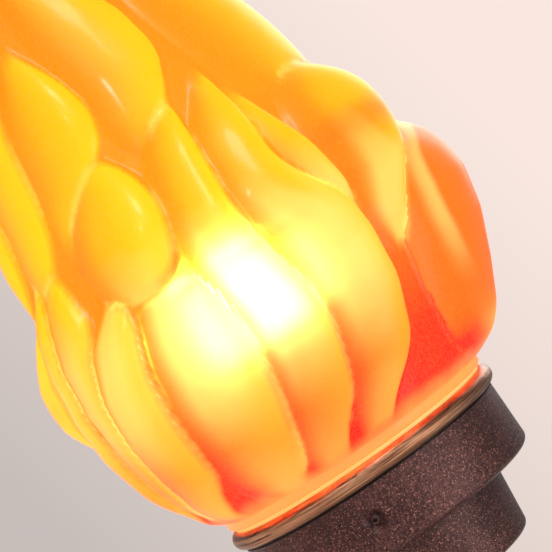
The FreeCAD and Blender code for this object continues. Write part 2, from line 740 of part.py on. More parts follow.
# The flame is drawn 268 high and 67 from its axis to the hollows between its tongues.
# Radius of the hollows at a height, both as drawn.
HOLLOWS = [(6, 48), (14, 52), (30, 60), (45, 64.5), (60, 67), (75, 66.5), (90, 62.5), (105, 58),
           (120, 54), (140, 50.5), (160, 46.5), (180, 41.5), (200, 34), (220, 25), (240, 15), (258, 6.5),
           (268, 2.5)]

# A tongue is a list of (height, place round the flame, half width, relief): the places and
# widths are in degrees, 0 faces +x and 90 faces +y, and the relief is a share of a full one.
FRONT_TONGUES = [
    [(6, -25.9, 3.9, 0), (15, -26.6, 15.6, 0.7), (36, -22.6, 17.4, 1), (52, -19.8, 17.3, 1),
     (68, -18.3, 14.3, 1), (84, -16.7, 9.1, 0)],
    [(6, -8.5, 6.5, 0), (14, -8.4, 10.4, 0.6), (24, -2, 13, 0.9), (40, 2.1, 12.3, 1),
     (56, 3.5, 11.1, 1), (70, 1.6, 10.4, 1), (87, 0.5, 10.1, 1), (112, 4.3, 8.7, 0.9),
     (127, 12.4, 2.6, 0)],
    [(9, 9.5, 6.5, 0), (18, 11.9, 9.1, 0.7), (29, 18.6, 12.3, 0.9), (48, 20.7, 11.6, 1),
     (66, 19, 11.2, 1), (88, 15.4, 9.1, 1.1), (110, 17.7, 8.3, 1), (127, 27.4, 2.6, 0)],
    [(56, 32.7, 2.3, 0), (76, 30.8, 5.2, 0.8), (92, 29.8, 7.1, 0.8), (104, 29.4, 5.8, 0.7),
     (118, 31.7, 2.3, 0)],
    [(48, 46, 4, 0), (62, 44, 9, 0.7), (78, 55, 18, 1.2), (92, 62, 24, 1.5), (104, 61, 22, 1.6),
     (113, 59, 15, 1), (121, 60, 5, 0)],
    [(5, 80, 14, 0), (14, 77, 27, 1.2), (30, 77, 31, 1.5), (46, 78, 33, 1.8), (60, 79, 33, 1.9),
     (72, 80, 30, 1.7), (81, 84, 20, 1.1), (90, 92, 5, 0)],
    [(8, -51.2, 5.2, 0), (16, -48.7, 11.7, 0.7), (34, -46.1, 13.7, 1), (50, -42.8, 13.3, 1),
     (62, -39.9, 12.3, 1), (75, -35.9, 10.4, 0.9), (86, -30.6, 2.6, 0)],
    [(8, -63.2, 5.2, 0), (20, -65.5, 8.5, 0.6), (36, -63.1, 9.1, 0.7), (50, -59.5, 8.5, 0.7),
     (66, -56.1, 9.1, 0.7), (82, -51.7, 11.7, 0.9), (94, -51.8, 7.8, 0.8), (104, -52.6, 2.6, 0)],
    [(10, -77.5, 7.5, 0), (30, -79, 10, 0.5), (50, -73.8, 8.8, 0.6), (70, -69.8, 8.8, 0.6),
     (90, -65.5, 7.5, 0.8), (106, -62.5, 2.5, 0)],
    [(14, -102, 9, 0), (40, -102, 18, 0.8), (55, -98, 20, 0.9), (68, -94, 20, 0.9), (80, -89, 17, 0.8),
     (92, -86, 12, 0.6), (103, -84, 3, 0)],
    [(77, -21.9, 6.9, 0), (84, -21.8, 13.8, 0.8), (97, -21.9, 17.2, 1.2), (106, -21.3, 16.1, 1.1),
     (116, -19.9, 10.3, 0.7), (128, -21.3, 2.3, 0)],
    [(100, -37.5, 3.4, 0), (112, -35.2, 9.2, 0.32), (122, -27.1, 16.1, 0.64), (134, -23.3, 17.7, 0.8),
     (147, -20.6, 14.1, 0.72), (166, -16.3, 2.3, 0)],
    [(112, 3, 5, 0), (124, 3.5, 11.5, 0.3), (140, 10, 16, 0.5), (158, 10, 18, 0.5), (180, 6, 12, 0.4),
     (204, 3, 3, 0)],
    [(108, 60, 8, 0), (120, 60, 26, 0.54), (134, 60, 28, 0.6), (152, 57, 26, 0.6), (172, 53, 19, 0.54),
     (206, 44, 4, 0)],
    [(90, -56.5, 3.4, 0), (108, -57.8, 13.8, 0.56), (125, -55.1, 16.1, 0.72), (142, -50, 14.9, 0.8),
     (160, -41.6, 12.6, 0.72), (192, -26.4, 3.4, 0)],
    [(92, -86.6, 6.6, 0), (110, -87.5, 16.5, 0.8), (140, -79.6, 17.6, 1), (170, -66.4, 15.4, 1),
     (200, -48.9, 9.9, 0.8), (228, -36.3, 3.3, 0)],
]


def blend(rows, height, column):
    """A column of a table of rows at a height, in a straight line between the rows on each side."""
    if height <= rows[0][0]:
        return rows[0][column]
    for low, high in zip(rows, rows[1:]):
        if height <= high[0]:
            share = (height - low[0]) / (high[0] - low[0])
            return low[column] + (high[column] - low[column]) * share
    return rows[-1][column]


def turned_by(tongue, turn):
    return [(height, place + turn, width, relief) for height, place, width, relief in tongue]


def all_tongues():
    """The front's tongues, with seven of them again on the back and one to fill each gap."""
    back = [turned_by(FRONT_TONGUES[index], 180) for index in (0, 1, 2, 6, 10, 11, 12)]
    back += [turned_by(FRONT_TONGUES[7], turn) for turn in (182, 292)]
    back += [turned_by(FRONT_TONGUES[14], turn) for turn in (172, 296)]
    back += [turned_by(FRONT_TONGUES[15], 190)]
    return FRONT_TONGUES + back


# how far a tongue's crest lies towards its right edge: 0 is its middle, 1 the edge
TONGUE_TILT = 0.45


def tongue_rise(tongues, height, place):
    """The relief of the tongue that stands out most at this height and place."""
    rise = 0.0
    for tongue in tongues:
        if not tongue[0][0] < height < tongue[-1][0]:
            continue
        apart = (place - blend(tongue, height, 1) + 180) % 360 - 180
        share = apart / blend(tongue, height, 2)
        if abs(share) < 1:
            tilted = (share - TONGUE_TILT) / (1 - TONGUE_TILT * share)
            rise = max(rise, blend(tongue, height, 3) * (1 - tilted ** 2) ** 0.6)
    return rise


# places round the flame, in degrees, and heights up it, as drawn, at which its skin is held
PLACES = range(0, 360, 5)
HEIGHTS = [9, 16, 24, 33, 42, 51, 60, 69, 78, 86, 94, 102, 110, 118, 127, 137, 148, 160, 173, 187, 201,
           215, 228, 240, 252, 262, 268]


def flame_ring(tongues, height, inset):
    """Points round the flame at a height, as drawn, pulled in by the inset."""
    tall = value("flame_height") / HOLLOWS[-1][0]
    widest = max(radius for _, radius in HOLLOWS)
    stout = value("flame_radius") / widest
    relief = value("tongue_relief")
    sway = -value("flame_sway") * math.sin(math.pi * max(height - 110, 0) / 158) ** 2
    points = []
    for place in PLACES:
        radius = blend(HOLLOWS, height, 1) * stout + tongue_rise(tongues, height, place) * relief
        radius -= inset
        angle = math.radians(place)
        across, back = radius * math.cos(angle), radius * math.sin(angle) + sway
        points.append(FreeCAD.Vector(across, back, height * tall))
    return points


def round_ring(radius, height):
    """Points that hold a smooth closed curve to a circle: they stand a little outside it."""
    step = math.radians(PLACES.step)
    radius /= (2 + math.cos(step)) / 3
    angles = [math.radians(place) for place in PLACES]
    return [FreeCAD.Vector(radius * math.cos(angle), radius * math.sin(angle), height) for angle in angles]


def ring_edge(points):
    """The smooth closed curve that a ring of points holds."""
    curve = Part.BSplineCurve()
    count = len(points)
    curve.buildFromPolesMultsKnots(points, [1] * (count + 1), list(range(count + 1)), True, 3)
    return curve.toShape()


def skin(rings):
    """The smooth surface that a stack of rings holds, from the first ring to the last."""
    around, up = len(rings[0]), len(rings)
    columns = [[ring[index] for ring in rings] for index in range(around)]
    surface = Part.BSplineSurface()
    surface.buildFromPolesMultsKnots(
        columns,
        [1] * (around + 1), [4] + [1] * (up - 4) + [4],
        list(range(around + 1)), list(range(up - 2)),
        True, False, 3, 3,
    )
    return surface.toShape()


def make_flame():
    tongues = all_tongues()
    wall = value("glass_wall")
    base = value(GLASS_BASE)
    foot_top = base + value("foot_height")
    foot = value(FOOT_RADIUS)
    neck = value(GLASS_NECK_RADIUS)
    neck_base = base - value("glass_neck_depth")

    # the neck and foot, from the inside of the foot round to its outside
    steps = [
        round_ring(foot - wall, foot_top),
        round_ring(neck - wall, base),
        round_ring(neck - wall, neck_base),
        round_ring(neck, neck_base),
        round_ring(neck, base),
        round_ring(foot, base),
        round_ring(foot, foot_top),
    ]
    faces = [Part.makeRuledSurface(ring_edge(low), ring_edge(high)) for low, high in zip(steps, steps[1:])]
    outside = [steps[-1]] + [flame_ring(tongues, height, 0) for height in HEIGHTS]
    inside = [steps[0]] + [flame_ring(tongues, height, wall) for height in HEIGHTS[:-4]]
    for rings in (outside, inside):
        faces.append(skin(rings))
        faces.append(Part.Face(Part.Wire([ring_edge(rings[-1])])))
    shell = Part.makeShell(faces)
    shell.sewShape()
    solid = Part.makeSolid(Part.Shell(shell.Faces))
    if solid.Volume < 0:
        solid.reverse()

    glass = doc.addObject("Part::Feature", "glass_flame")
    glass.Shape = solid
    piece("glass_flame", placed(glass, TORCH))


# ---------------------------------------------------------------- wall plate

def make_wall_plate():
    sheet_in = "plate_radius - plate_wall"
    step_in = "step_radius - plate_wall"
    hole = "arm_radius + fit_gap"
    plate = turned("wall_plate", PLATE, [
        (sheet_in, "0"),
        ("plate_radius", "0"),
        ("plate_radius", "plate_depth - plate_round", "plate_round"),
        ("plate_radius - plate_round", "plate_depth"),
        ("step_radius", "plate_depth"),
        ("step_radius", "step_depth - plate_round", "plate_round"),
        ("step_radius - plate_round", "step_depth"),
        (hole, "step_depth"),
        (hole, "step_depth - plate_wall"),
        ("step_radius - plate_round", "step_depth - plate_wall", "-(plate_round - plate_wall)"),
        (step_in, "step_depth - plate_round"),
        (step_in, "plate_depth - plate_wall"),
        ("plate_radius - plate_round", "plate_depth - plate_wall", "-(plate_round - plate_wall)"),
        (sheet_in, "plate_depth - plate_round"),
    ])
    holes = sketch_on(plate, "stud_holes", "XY_Plane")
    for side in ("-", ""):
        ring_of(holes, side + "stud_offset", "0", "stud_radius + fit_gap")
    pocket(plate, "stud_hole_cut", holes)
    piece("wall_plate", plate)


def slot_outline(middle):
    """A level slot with round ends, its middle at this place along the bar."""
    flat = "(slot_length / 2 - slot_radius)"
    return [
        (f"{middle} - {flat}", "-slot_radius"),
        (f"{middle} + {flat}", "-slot_radius", "slot_radius"),
        (f"{middle} + {flat} + slot_radius", "0", "slot_radius"),
        (f"{middle} + {flat}", "slot_radius"),
        (f"{middle} - {flat}", "slot_radius", "slot_radius"),
        (f"{middle} - {flat} - slot_radius", "0", "slot_radius"),
    ]


def make_crossbar():
    bar = padded("crossbar", PLATE, [
        ("-bar_half_length", "-bar_half_width"),
        ("bar_half_length", "-bar_half_width"),
        ("bar_half_length", "bar_half_width"),
        ("tab_half_width", "bar_half_width"),
        ("tab_half_width", "tab_height"),
        ("-tab_half_width", "tab_height"),
        ("-tab_half_width", "bar_half_width"),
        ("-bar_half_length", "bar_half_width"),
    ], "bar_thick")
    holes = sketch_on(bar, "bar_holes", "XY_Plane")
    for side in ("-", ""):
        outline(holes, slot_outline(side + "slot_offset"))
        ring_of(holes, side + "stud_offset", "0", "stud_radius + fit_gap")
    ring_of(holes, "-earth_offset", "0", "earth_screw_radius + fit_gap")
    ring_of(holes, "way_pitch / 2", "block_base + block_height / 2", "block_screw_radius + fit_gap")
    pocket(bar, "bar_hole_cut", holes)
    piece("crossbar", bar)


def make_plate_fixings():
    studs = []
    nuts = []
    for side, name in (("-", "left"), ("", "right")):
        foot = PLATE + " * " + frame(x=side + "stud_offset")
        seat = PLATE + " * " + frame(x=side + "stud_offset", z="plate_depth")
        length = "plate_depth + cap_nut_height - fit_gap"
        studs.append(rod("stud_" + name, foot, "stud_radius", length))
        body = hexagon("cap_nut_hexagon_" + name, seat, "cap_nut_radius", "cap_nut_height")
        dome = doc.addObject("Part::Sphere", "cap_nut_dome_" + name)
        dome.setExpression("Radius", bound("cap_nut_dome"))
        dome.Angle1 = 0
        placed(dome, seat + " * " + frame(z="cap_nut_height"))
        solid = joined("cap_nut_solid_" + name, [body, dome])
        hole = rod("cap_nut_hole_" + name, seat, "stud_radius + fit_gap", "cap_nut_height")
        nuts.append(drilled("cap_nut_" + name, solid, hole))
    piece("plate_studs", group("plate_studs", studs))
    piece("cap_nuts", group("cap_nuts", nuts))

    head_top = "bar_thick + earth_head_height"
    piece("earth_screw", turned("earth_screw", PLATE + " * " + frame(x="-earth_offset"), [
        ("0", "0"),
        ("earth_screw_radius", "0"),
        ("earth_screw_radius", "bar_thick"),
        ("earth_head_radius", "bar_thick"),
        ("earth_head_radius", f"{head_top} - earth_head_round", "earth_head_round"),
        ("earth_head_radius - earth_head_round", head_top),
        ("0", head_top),
    ]))


def make_terminal_block():
    box = doc.addObject("Part::Box", "block_box")
    box.setExpression("Length", bound("2 * block_half_width"))
    box.setExpression("Width", bound("block_height"))
    box.setExpression("Height", bound("block_depth"))
    placed(box, PLATE + " * " + frame(x="-block_half_width", y="block_base", z="bar_thick"))

    middle = "block_base + block_height / 2"
    well_depth = "clamp_pin_length + clamp_pin_sink"
    pin_base = f"bar_thick + block_depth - {well_depth}"
    holes = []
    pins = []
    for way in (-1, 0, 1):
        across = f"{way} * way_pitch"
        entry = frame(x=across, y="block_base", z="bar_thick + block_depth / 2", turn="-90")
        holes.append(rod(f"way_{way + 2}", PLATE + " * " + entry, "way_radius", "block_height"))
        for row in (-1, 1):
            spot = frame(x=across, y=f"{middle} + {row} * clamp_pin_offset", z=pin_base)
            place = PLATE + " * " + spot
            name = f"{way + 2}_{row + 2}"
            holes.append(rod("well_" + name, place, "clamp_pin_radius + fit_gap", well_depth))
            pins.append(rod("pin_" + name, place, "clamp_pin_radius", "clamp_pin_length"))
    spot = PLATE + " * " + frame(x="way_pitch / 2", y=middle, z="0")
    screw_hole = "block_screw_radius + fit_gap"
    holes.append(rod("block_screw_hole", spot, screw_hole, "bar_thick + block_depth"))
    block = drilled("terminal_block", box, joined("block_holes", holes))
    piece("terminal_block", block)
    piece("terminal_screws", group("terminal_screws", pins))

    screw_top = "bar_thick + block_depth"
    piece("block_screw", turned("block_screw", spot, [
        ("0", "0"),
        ("block_screw_radius", "0"),
        ("block_screw_radius", screw_top),
        ("block_head_radius", screw_top),
        ("block_head_radius", f"{screw_top} + block_head_height"),
        ("0", f"{screw_top} + block_head_height"),
    ]))


# ---------------------------------------------------------------- arm and clamp

def make_arm():
    end = "arm_reach - socket_reach + socket_depth"
    piece("arm_tube", tube("arm_tube", PLATE, "arm_bore", "arm_radius", "arm_tail", end))
    hole = "arm_radius + fit_gap"
    rosette = turned("arm_rosette", PLATE, [
        (hole, "step_depth"),
        ("rosette_radius", "step_depth"),
        ("rosette_radius", "step_depth + rosette_edge", "-rosette_cove"),
        (f"{hole} + rosette_edge", "step_depth + rosette_height"),
        (hole, "step_depth + rosette_height"),
    ])
    piece("arm_rosette", rosette)

    seat = "step_depth - plate_wall"
    washer_base = f"{seat} - arm_washer_height"
    piece("arm_washer", tube("arm_washer", PLATE, hole, "arm_washer_radius", washer_base, seat))
    place = PLATE + " * " + frame(z=f"{washer_base} - arm_nut_height")
    piece("arm_nut", nut("arm_nut", place, "arm_nut_radius", hole, "arm_nut_height"))


def make_clamp():
    half = "clamp_length / 2"
    bore = "grip_radius + fit_gap"
    waist = "clamp_radius - clamp_bead / 2"
    sleeve = turned("clamp_sleeve", GRIP, [
        (bore, f"-{half}"),
        (waist, f"-{half}", "1.25 * clamp_bead"),
        (waist, f"-{half} + 2 * clamp_bead"),
        (waist, f"{half} - 2 * clamp_bead", "1.25 * clamp_bead"),
        (waist, half),
        (bore, half),
    ])
    axis = frame(y="-arm_reach", turn="-90")
    socket = rod("clamp_socket", axis, "socket_radius", "socket_reach")
    solid = joined("clamp_solid", [sleeve, socket])

    below = GRIP + " * " + frame(z="-clamp_length")
    arm_end = frame(y="-arm_reach + socket_reach - socket_depth", turn="-90")
    screw_way = GRIP + " * " + frame(axis="0;1;0", turn="-90")
    tools = joined("clamp_holes", [
        rod("clamp_bore", below, bore, "2 * clamp_length"),
        rod("clamp_arm_hole", arm_end, "arm_radius + fit_gap", "socket_depth"),
        rod("clamp_lead_hole", axis, "arm_bore", "socket_reach"),
        rod("clamp_screw_hole", screw_way, "clamp_screw_radius + fit_gap", "clamp_radius + clamp_bead"),
    ])
    piece("torch_clamp", drilled("torch_clamp", solid, tools))

    top = "clamp_radius - clamp_screw_sink"
    screw = turned("clamp_screw", screw_way, [
        ("0", "grip_radius"),
        ("clamp_screw_radius", "grip_radius"),
        ("clamp_screw_radius", top),
        ("clamp_key_radius", top),
        ("clamp_key_radius", f"{top} - clamp_key_depth"),
        ("0", f"{top} - clamp_key_depth"),
    ])
    piece("clamp_screw", screw)


# ---------------------------------------------------------------- leads

def lead(label, points, radii):
    """A round lead through the points, each inner point eased by an arc of its own radius."""
    spots = [FreeCAD.Vector(*point) for point in points]
    edges = []
    start = spots[0]
    for before, corner, after, radius in zip(spots, spots[1:], spots[2:], radii):
        incoming = (before - corner).normalize()
        outgoing = (after - corner).normalize()
        half_turn = (math.pi - incoming.getAngle(outgoing)) / 2
        setback = radius * math.tan(half_turn)
        middle_way = (incoming + outgoing).normalize()
        nearest = radius / math.cos(half_turn) - radius
        arc_start = corner + incoming * setback
        arc_end = corner + outgoing * setback
        edges.append(Part.LineSegment(start, arc_start).toShape())
        edges.append(Part.Arc(arc_start, corner + middle_way * nearest, arc_end).toShape())
        start = arc_end
    edges.append(Part.LineSegment(start, spots[-1]).toShape())
    path = Part.Wire(edges)
    section = Part.Circle(spots[0], spots[1] - spots[0], value("lead_radius")).toShape()
    solid = path.makePipeShell([Part.Wire([section])], True, False)
    lead_part = doc.addObject("Part::Feature", label)
    lead_part.Shape = solid
    piece(label, lead_part)


def make_leads():
    lean = math.radians(value("torch_lean"))
    reach = value("arm_reach")
    rise = value(f"grip_depth + {HOLDER_SEAM}")
    spread = value("lead_spread")
    turn_depth = value("lead_turn_depth")
    way_depth = value("bar_thick + block_depth / 2")
    block_base = value("block_base")
    inside_block = block_base + value("block_height") / 3
    pitch = value("way_pitch")
    bends = (value("lead_bend"), value("lead_turn"), value("lead_turn"))
    for label, side, way in (("neutral_lead", -spread, 0), ("live_lead", spread, pitch)):
        lead(label, [
            (side, -reach - rise * math.sin(lean), rise * math.cos(lean)),
            (side, -reach, 0),
            (side, -turn_depth, 0),
            (way, -way_depth, block_base - value("lead_entry")),
            (way, -way_depth, inside_block),
        ], bends)
    lug_height = value("bar_thick + earth_head_height + lead_radius")
    earth = value("earth_offset")
    earth_bend = value("earth_bend")
    lead("earth_lead", [
        (-earth, -lug_height, -value("earth_end")),
        (-earth, -lug_height, value("earth_rise")),
        (-pitch, -way_depth, block_base - value("earth_entry")),
        (-pitch, -way_depth, inside_block),
    ], (earth_bend, earth_bend))


# ---------------------------------------------------------------- the whole part

make_lip_ring()
make_head_cup()
make_stepped_collar()
make_neck()
make_gasket()
make_handle()
make_finial()
make_nipple()
make_lamp_holder()
make_lamp()
make_glass_screws()
make_flame()
make_wall_plate()
make_crossbar()
make_plate_fixings()
make_terminal_block()
make_arm()
make_clamp()
make_leads()
doc.recompute()

for thing in doc.Objects:
    if "Invalid" in thing.State or "Error" in thing.State:
        raise RuntimeError(f"{thing.Label} is not sound: {thing.State}")
for part in pieces:
    if part.Shape.isNull() or not part.Shape.isValid() or not part.Shape.Solids:
        raise RuntimeError(f"{part.Label} has no sound solid")

os.makedirs("parts", exist_ok=True)
for part in pieces:
    part.Shape.exportStep(f"parts/{part.Label}.step")
    print(f"{part.Label}: {len(part.Shape.Solids)} solid, {part.Shape.Volume:.0f} mm3")
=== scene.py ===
import json
import math

import bpy
import numpy as np
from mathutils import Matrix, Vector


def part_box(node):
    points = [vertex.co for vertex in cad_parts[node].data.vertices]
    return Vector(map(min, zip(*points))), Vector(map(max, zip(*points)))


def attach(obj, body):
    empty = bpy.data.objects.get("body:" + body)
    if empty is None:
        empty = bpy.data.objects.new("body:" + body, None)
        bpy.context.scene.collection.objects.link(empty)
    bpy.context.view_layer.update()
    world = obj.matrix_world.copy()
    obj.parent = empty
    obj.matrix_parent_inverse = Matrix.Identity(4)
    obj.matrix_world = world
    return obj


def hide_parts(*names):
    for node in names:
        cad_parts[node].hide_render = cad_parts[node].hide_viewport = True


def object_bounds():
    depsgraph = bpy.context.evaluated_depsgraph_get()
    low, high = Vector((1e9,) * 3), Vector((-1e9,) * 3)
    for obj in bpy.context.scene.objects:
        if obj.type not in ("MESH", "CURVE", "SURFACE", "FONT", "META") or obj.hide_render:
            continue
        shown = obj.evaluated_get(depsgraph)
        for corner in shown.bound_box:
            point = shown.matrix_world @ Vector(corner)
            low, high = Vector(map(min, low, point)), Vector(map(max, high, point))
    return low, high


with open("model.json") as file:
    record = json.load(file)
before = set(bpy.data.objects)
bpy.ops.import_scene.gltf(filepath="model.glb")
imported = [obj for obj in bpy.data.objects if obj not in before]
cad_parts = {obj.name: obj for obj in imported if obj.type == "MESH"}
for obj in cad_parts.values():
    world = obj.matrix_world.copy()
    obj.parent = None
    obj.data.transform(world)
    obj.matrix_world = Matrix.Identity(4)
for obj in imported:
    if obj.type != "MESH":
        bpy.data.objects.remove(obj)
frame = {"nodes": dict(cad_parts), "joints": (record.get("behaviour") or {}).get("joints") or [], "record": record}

# Torch sconce: a lit glass flame on a stepped brown torch that leans out from its wall plate.
#
# The torch frame stands on the middle of the lip ring: its z runs up the torch, its x stays
# level and its y points back and up towards the wall.  Sizes in it are millimetres, as drawn,
# and the pieces are put in place in metres.

cad_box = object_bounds()

lift = next(joint for joint in frame["joints"] if joint["name"] == "shade_lift")
UP_THE_TORCH = np.array(lift["axis"])
LEVEL = np.array([1.0, 0.0, 0.0])
TO_THE_WALL = np.cross(UP_THE_TORCH, LEVEL)
RING_MIDDLE = np.mean(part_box("lip_ring"), axis=0)
LEAN = math.atan2(-UP_THE_TORCH[1], UP_THE_TORCH[2])
MILLIMETRE = 0.001


def in_place(x, y, z):
    """Points of the torch frame, in millimetres, put in the row's frame, in metres."""
    along = [np.asarray(part, float)[..., None] * MILLIMETRE for part in (x, y, z)]
    return RING_MIDDLE + along[0] * LEVEL + along[1] * TO_THE_WALL + along[2] * UP_THE_TORCH


# ---------------------------------------------------------------- meshes

def ring_quads(rows, columns):
    """Corner numbers of the quads of a grid whose columns close on themselves."""
    row = np.arange(rows - 1)[:, None] * columns
    column = np.arange(columns)[None, :]
    onward = (column + 1) % columns
    corners = [row + column, row + onward, row + columns + onward, row + columns + column]
    return np.stack(corners, axis=-1).reshape(-1, 4)


def pole_fan(first, columns, pole, upward):
    """Triangles from a ring of a grid to one closing point."""
    ring = first + np.arange(columns)
    onward = first + (np.arange(columns) + 1) % columns
    tip = np.full(columns, pole)
    return np.stack([ring, onward, tip] if upward else [onward, ring, tip], axis=-1)


def new_piece(name, points, faces, marks=None):
    """A mesh object from arrays of points and faces, with its marks as point attributes."""
    mesh = bpy.data.meshes.new(name)
    listed = [face for group in faces for face in group.tolist()]
    mesh.from_pydata(points.reshape(-1, 3).tolist(), [], listed)
    for mark, values in (marks or {}).items():
        layer = mesh.attributes.new(mark, "FLOAT", "POINT")
        layer.data.foreach_set("value", np.ascontiguousarray(values, dtype=np.float32).ravel())
    mesh.polygons.foreach_set("use_smooth", np.ones(len(mesh.polygons), dtype=bool))
    mesh.update()
    made = bpy.data.objects.new(name, mesh)
    bpy.context.scene.collection.objects.link(made)
    return made


# ---------------------------------------------------------------- glass flame

# The solid glass_flame in the part's source comes from nearly the same tables and the same
# rule.  A few front tongues and the foot were fitted closer to the photograph here.

# radius of the hollows between the tongues, by height
HOLLOWS = np.array([
    (7.4, 48.8), (9, 51.2), (11, 53.0), (15, 54.4), (30, 60), (45, 64.5), (60, 67), (75, 66.5),
    (90, 62.5), (105, 58), (120, 54), (140, 50.5), (160, 46.5), (180, 41.5), (200, 34), (220, 25),
    (240, 15), (258, 6.5), (268, 2.5)])

# A tongue is a list of (height, place round the flame, half width, relief).  Places and widths
# are in degrees, 0 faces the side and 90 the wall, and relief is a share of a full one.
FRONT_TONGUES = [
    [(6, -25.9, 3.9, 0), (15, -26.6, 15.6, 0.7), (36, -22.6, 17.4, 1), (52, -19.8, 17.3, 1),
     (68, -18.3, 14.3, 1), (84, -16.7, 9.1, 0)],
    [(6, -8.5, 6.5, 0), (14, -8.4, 10.4, 0.6), (24, -2, 13, 0.9), (40, 2.1, 12.3, 1),
     (56, 3.5, 11.1, 1), (70, 1.6, 10.4, 1), (87, 0.5, 10.1, 1), (112, 4.3, 8.7, 0.9),
     (127, 12.4, 2.6, 0)],
    [(9, 9.5, 6.5, 0), (15, 11.5, 9.5, 0.7), (25, 19, 14, 0.9), (43, 23, 14, 1), (60, 23, 14, 1),
     (72, 22.5, 14, 1), (85, 18, 11.5, 1.1), (93, 17.5, 9.8, 1.1), (108, 19.5, 10, 1), (127, 28, 2.6, 0)],
    [(62, 35, 2.3, 0), (75, 33.5, 5, 0.8), (92, 31.5, 7.8, 0.8), (104, 30, 6, 0.7), (118, 31.7, 2.3, 0)],
    [(48, 46, 4, 0), (62, 44, 9, 0.7), (78, 54, 17, 1.1), (91, 60.5, 22.5, 1.35), (101, 60, 21, 1.5),
     (109, 59, 15, 1.05), (117, 60, 5, 0)],
    [(5, 80, 14, 0), (14, 77, 27, 1.2), (30, 77, 31, 1.5), (46, 78, 33, 1.8), (60, 79, 33, 1.9),
     (72, 80, 30, 1.7), (81, 84, 20, 1.1), (90, 92, 5, 0)],
    [(8, -54, 5, 0), (15, -58, 9, 0.7), (23, -52, 13, 0.9), (34, -49.5, 13.7, 1), (49, -46.3, 13.3, 1),
     (62, -42.5, 12, 1), (76, -36.5, 10, 0.9), (86, -31, 2.6, 0)],
    [(8, -63.2, 5.2, 0), (20, -65.5, 8.5, 0.6), (36, -63.1, 9.1, 0.7), (50, -59.5, 8.5, 0.7),
     (66, -56.1, 9.1, 0.7), (82, -51.7, 11.7, 0.9), (94, -51.8, 7.8, 0.8), (104, -52.6, 2.6, 0)],
    [(9, -82, 7.5, 0), (25, -85, 15, 0.75), (42, -82, 14, 0.7), (56, -75, 9, 0.6), (70, -69.8, 8.8, 0.6),
     (90, -65.5, 7.5, 0.8), (106, -62.5, 2.5, 0)],
    [(42, -104, 6, 0), (50, -103, 15, 0.8), (60, -102, 19, 1.1), (68, -101, 20, 1.2), (78, -99, 17, 1),
     (88, -97, 12, 0.6), (97, -96, 4, 0)],
    [(77, -21.9, 6.9, 0), (84, -21.8, 13.8, 0.8), (97, -21.9, 17.2, 1.2), (106, -21.3, 16.1, 1.1),
     (116, -19.9, 10.3, 0.7), (128, -21.3, 2.3, 0)],
    [(100, -37.5, 3.4, 0), (112, -35.2, 9.2, 0.32), (122, -27.1, 16.1, 0.64), (134, -23.3, 17.7, 0.8),
     (147, -20.6, 14.1, 0.72), (166, -16.3, 2.3, 0)],
    [(112, 3, 5, 0), (124, 3.5, 11.5, 0.3), (140, 10, 16, 0.5), (158, 10, 18, 0.5), (180, 6, 12, 0.4),
     (204, 3, 3, 0)],
    [(106, 60, 8, 0), (117, 60, 26, 0.5), (134, 60, 28, 0.66), (152, 57, 26, 0.75), (172, 53, 19, 0.6),
     (206, 44, 4, 0)],
    [(90, -56.5, 3.4, 0), (108, -57.8, 13.8, 0.56), (125, -55.1, 16.1, 0.72), (142, -50, 14.9, 0.8),
     (160, -41.6, 12.6, 0.72), (192, -26.4, 3.4, 0)],
    [(92, -86.6, 6.6, 0), (110, -87.5, 16.5, 0.8), (140, -79.6, 17.6, 1), (170, -66.4, 15.4, 1),
     (200, -48.9, 9.9, 0.8), (228, -36.3, 3.3, 0)],
]
BACK_COPIES = [(0, 180), (1, 180), (2, 180), (6, 180), (10, 180), (11, 180), (12, 180), (7, 182), (7, 292),
               (14, 172), (14, 296), (15, 190)]

TONGUE_RELIEF = 7.2
TONGUE_TILT = 0.45
TONGUE_FULLNESS = 0.6
EASED_OVER = 9.0
GLASS_WALL = 3.0
NECK_RADIUS = 42.5
NECK_BASE = -17.8
FOOT_BASE = 4.2
FOOT_RADIUS = 48.6
FOOT_BEVEL = 1.6
EDGE_SOFTNESS = 0.6
NECK_STEP = 0.3
FLAME_FROM = 7.4
DETAILED_TO = 132.0
FLAME_TIP = 268.0
INSIDE_TIP = 240.0
TIP_RADIUS = 0.4
UPPER_SWAY = 9.0
SWAY_FROM = 110.0
FLAME_COLUMNS = 400
LOWER_ROWS, UPPER_ROWS, INNER_ROWS = 120, 66, 46


def eased_column(rows, column, heights):
    """A column of a table at the heights: straight between rows, then a running mean over 9 mm."""
    table = np.array(rows, float)
    offsets = np.linspace(-EASED_OVER / 2, EASED_OVER / 2, 9)
    shifted = [np.interp(heights + offset, table[:, 0], table[:, column]) for offset in offsets]
    return np.mean(shifted, axis=0)


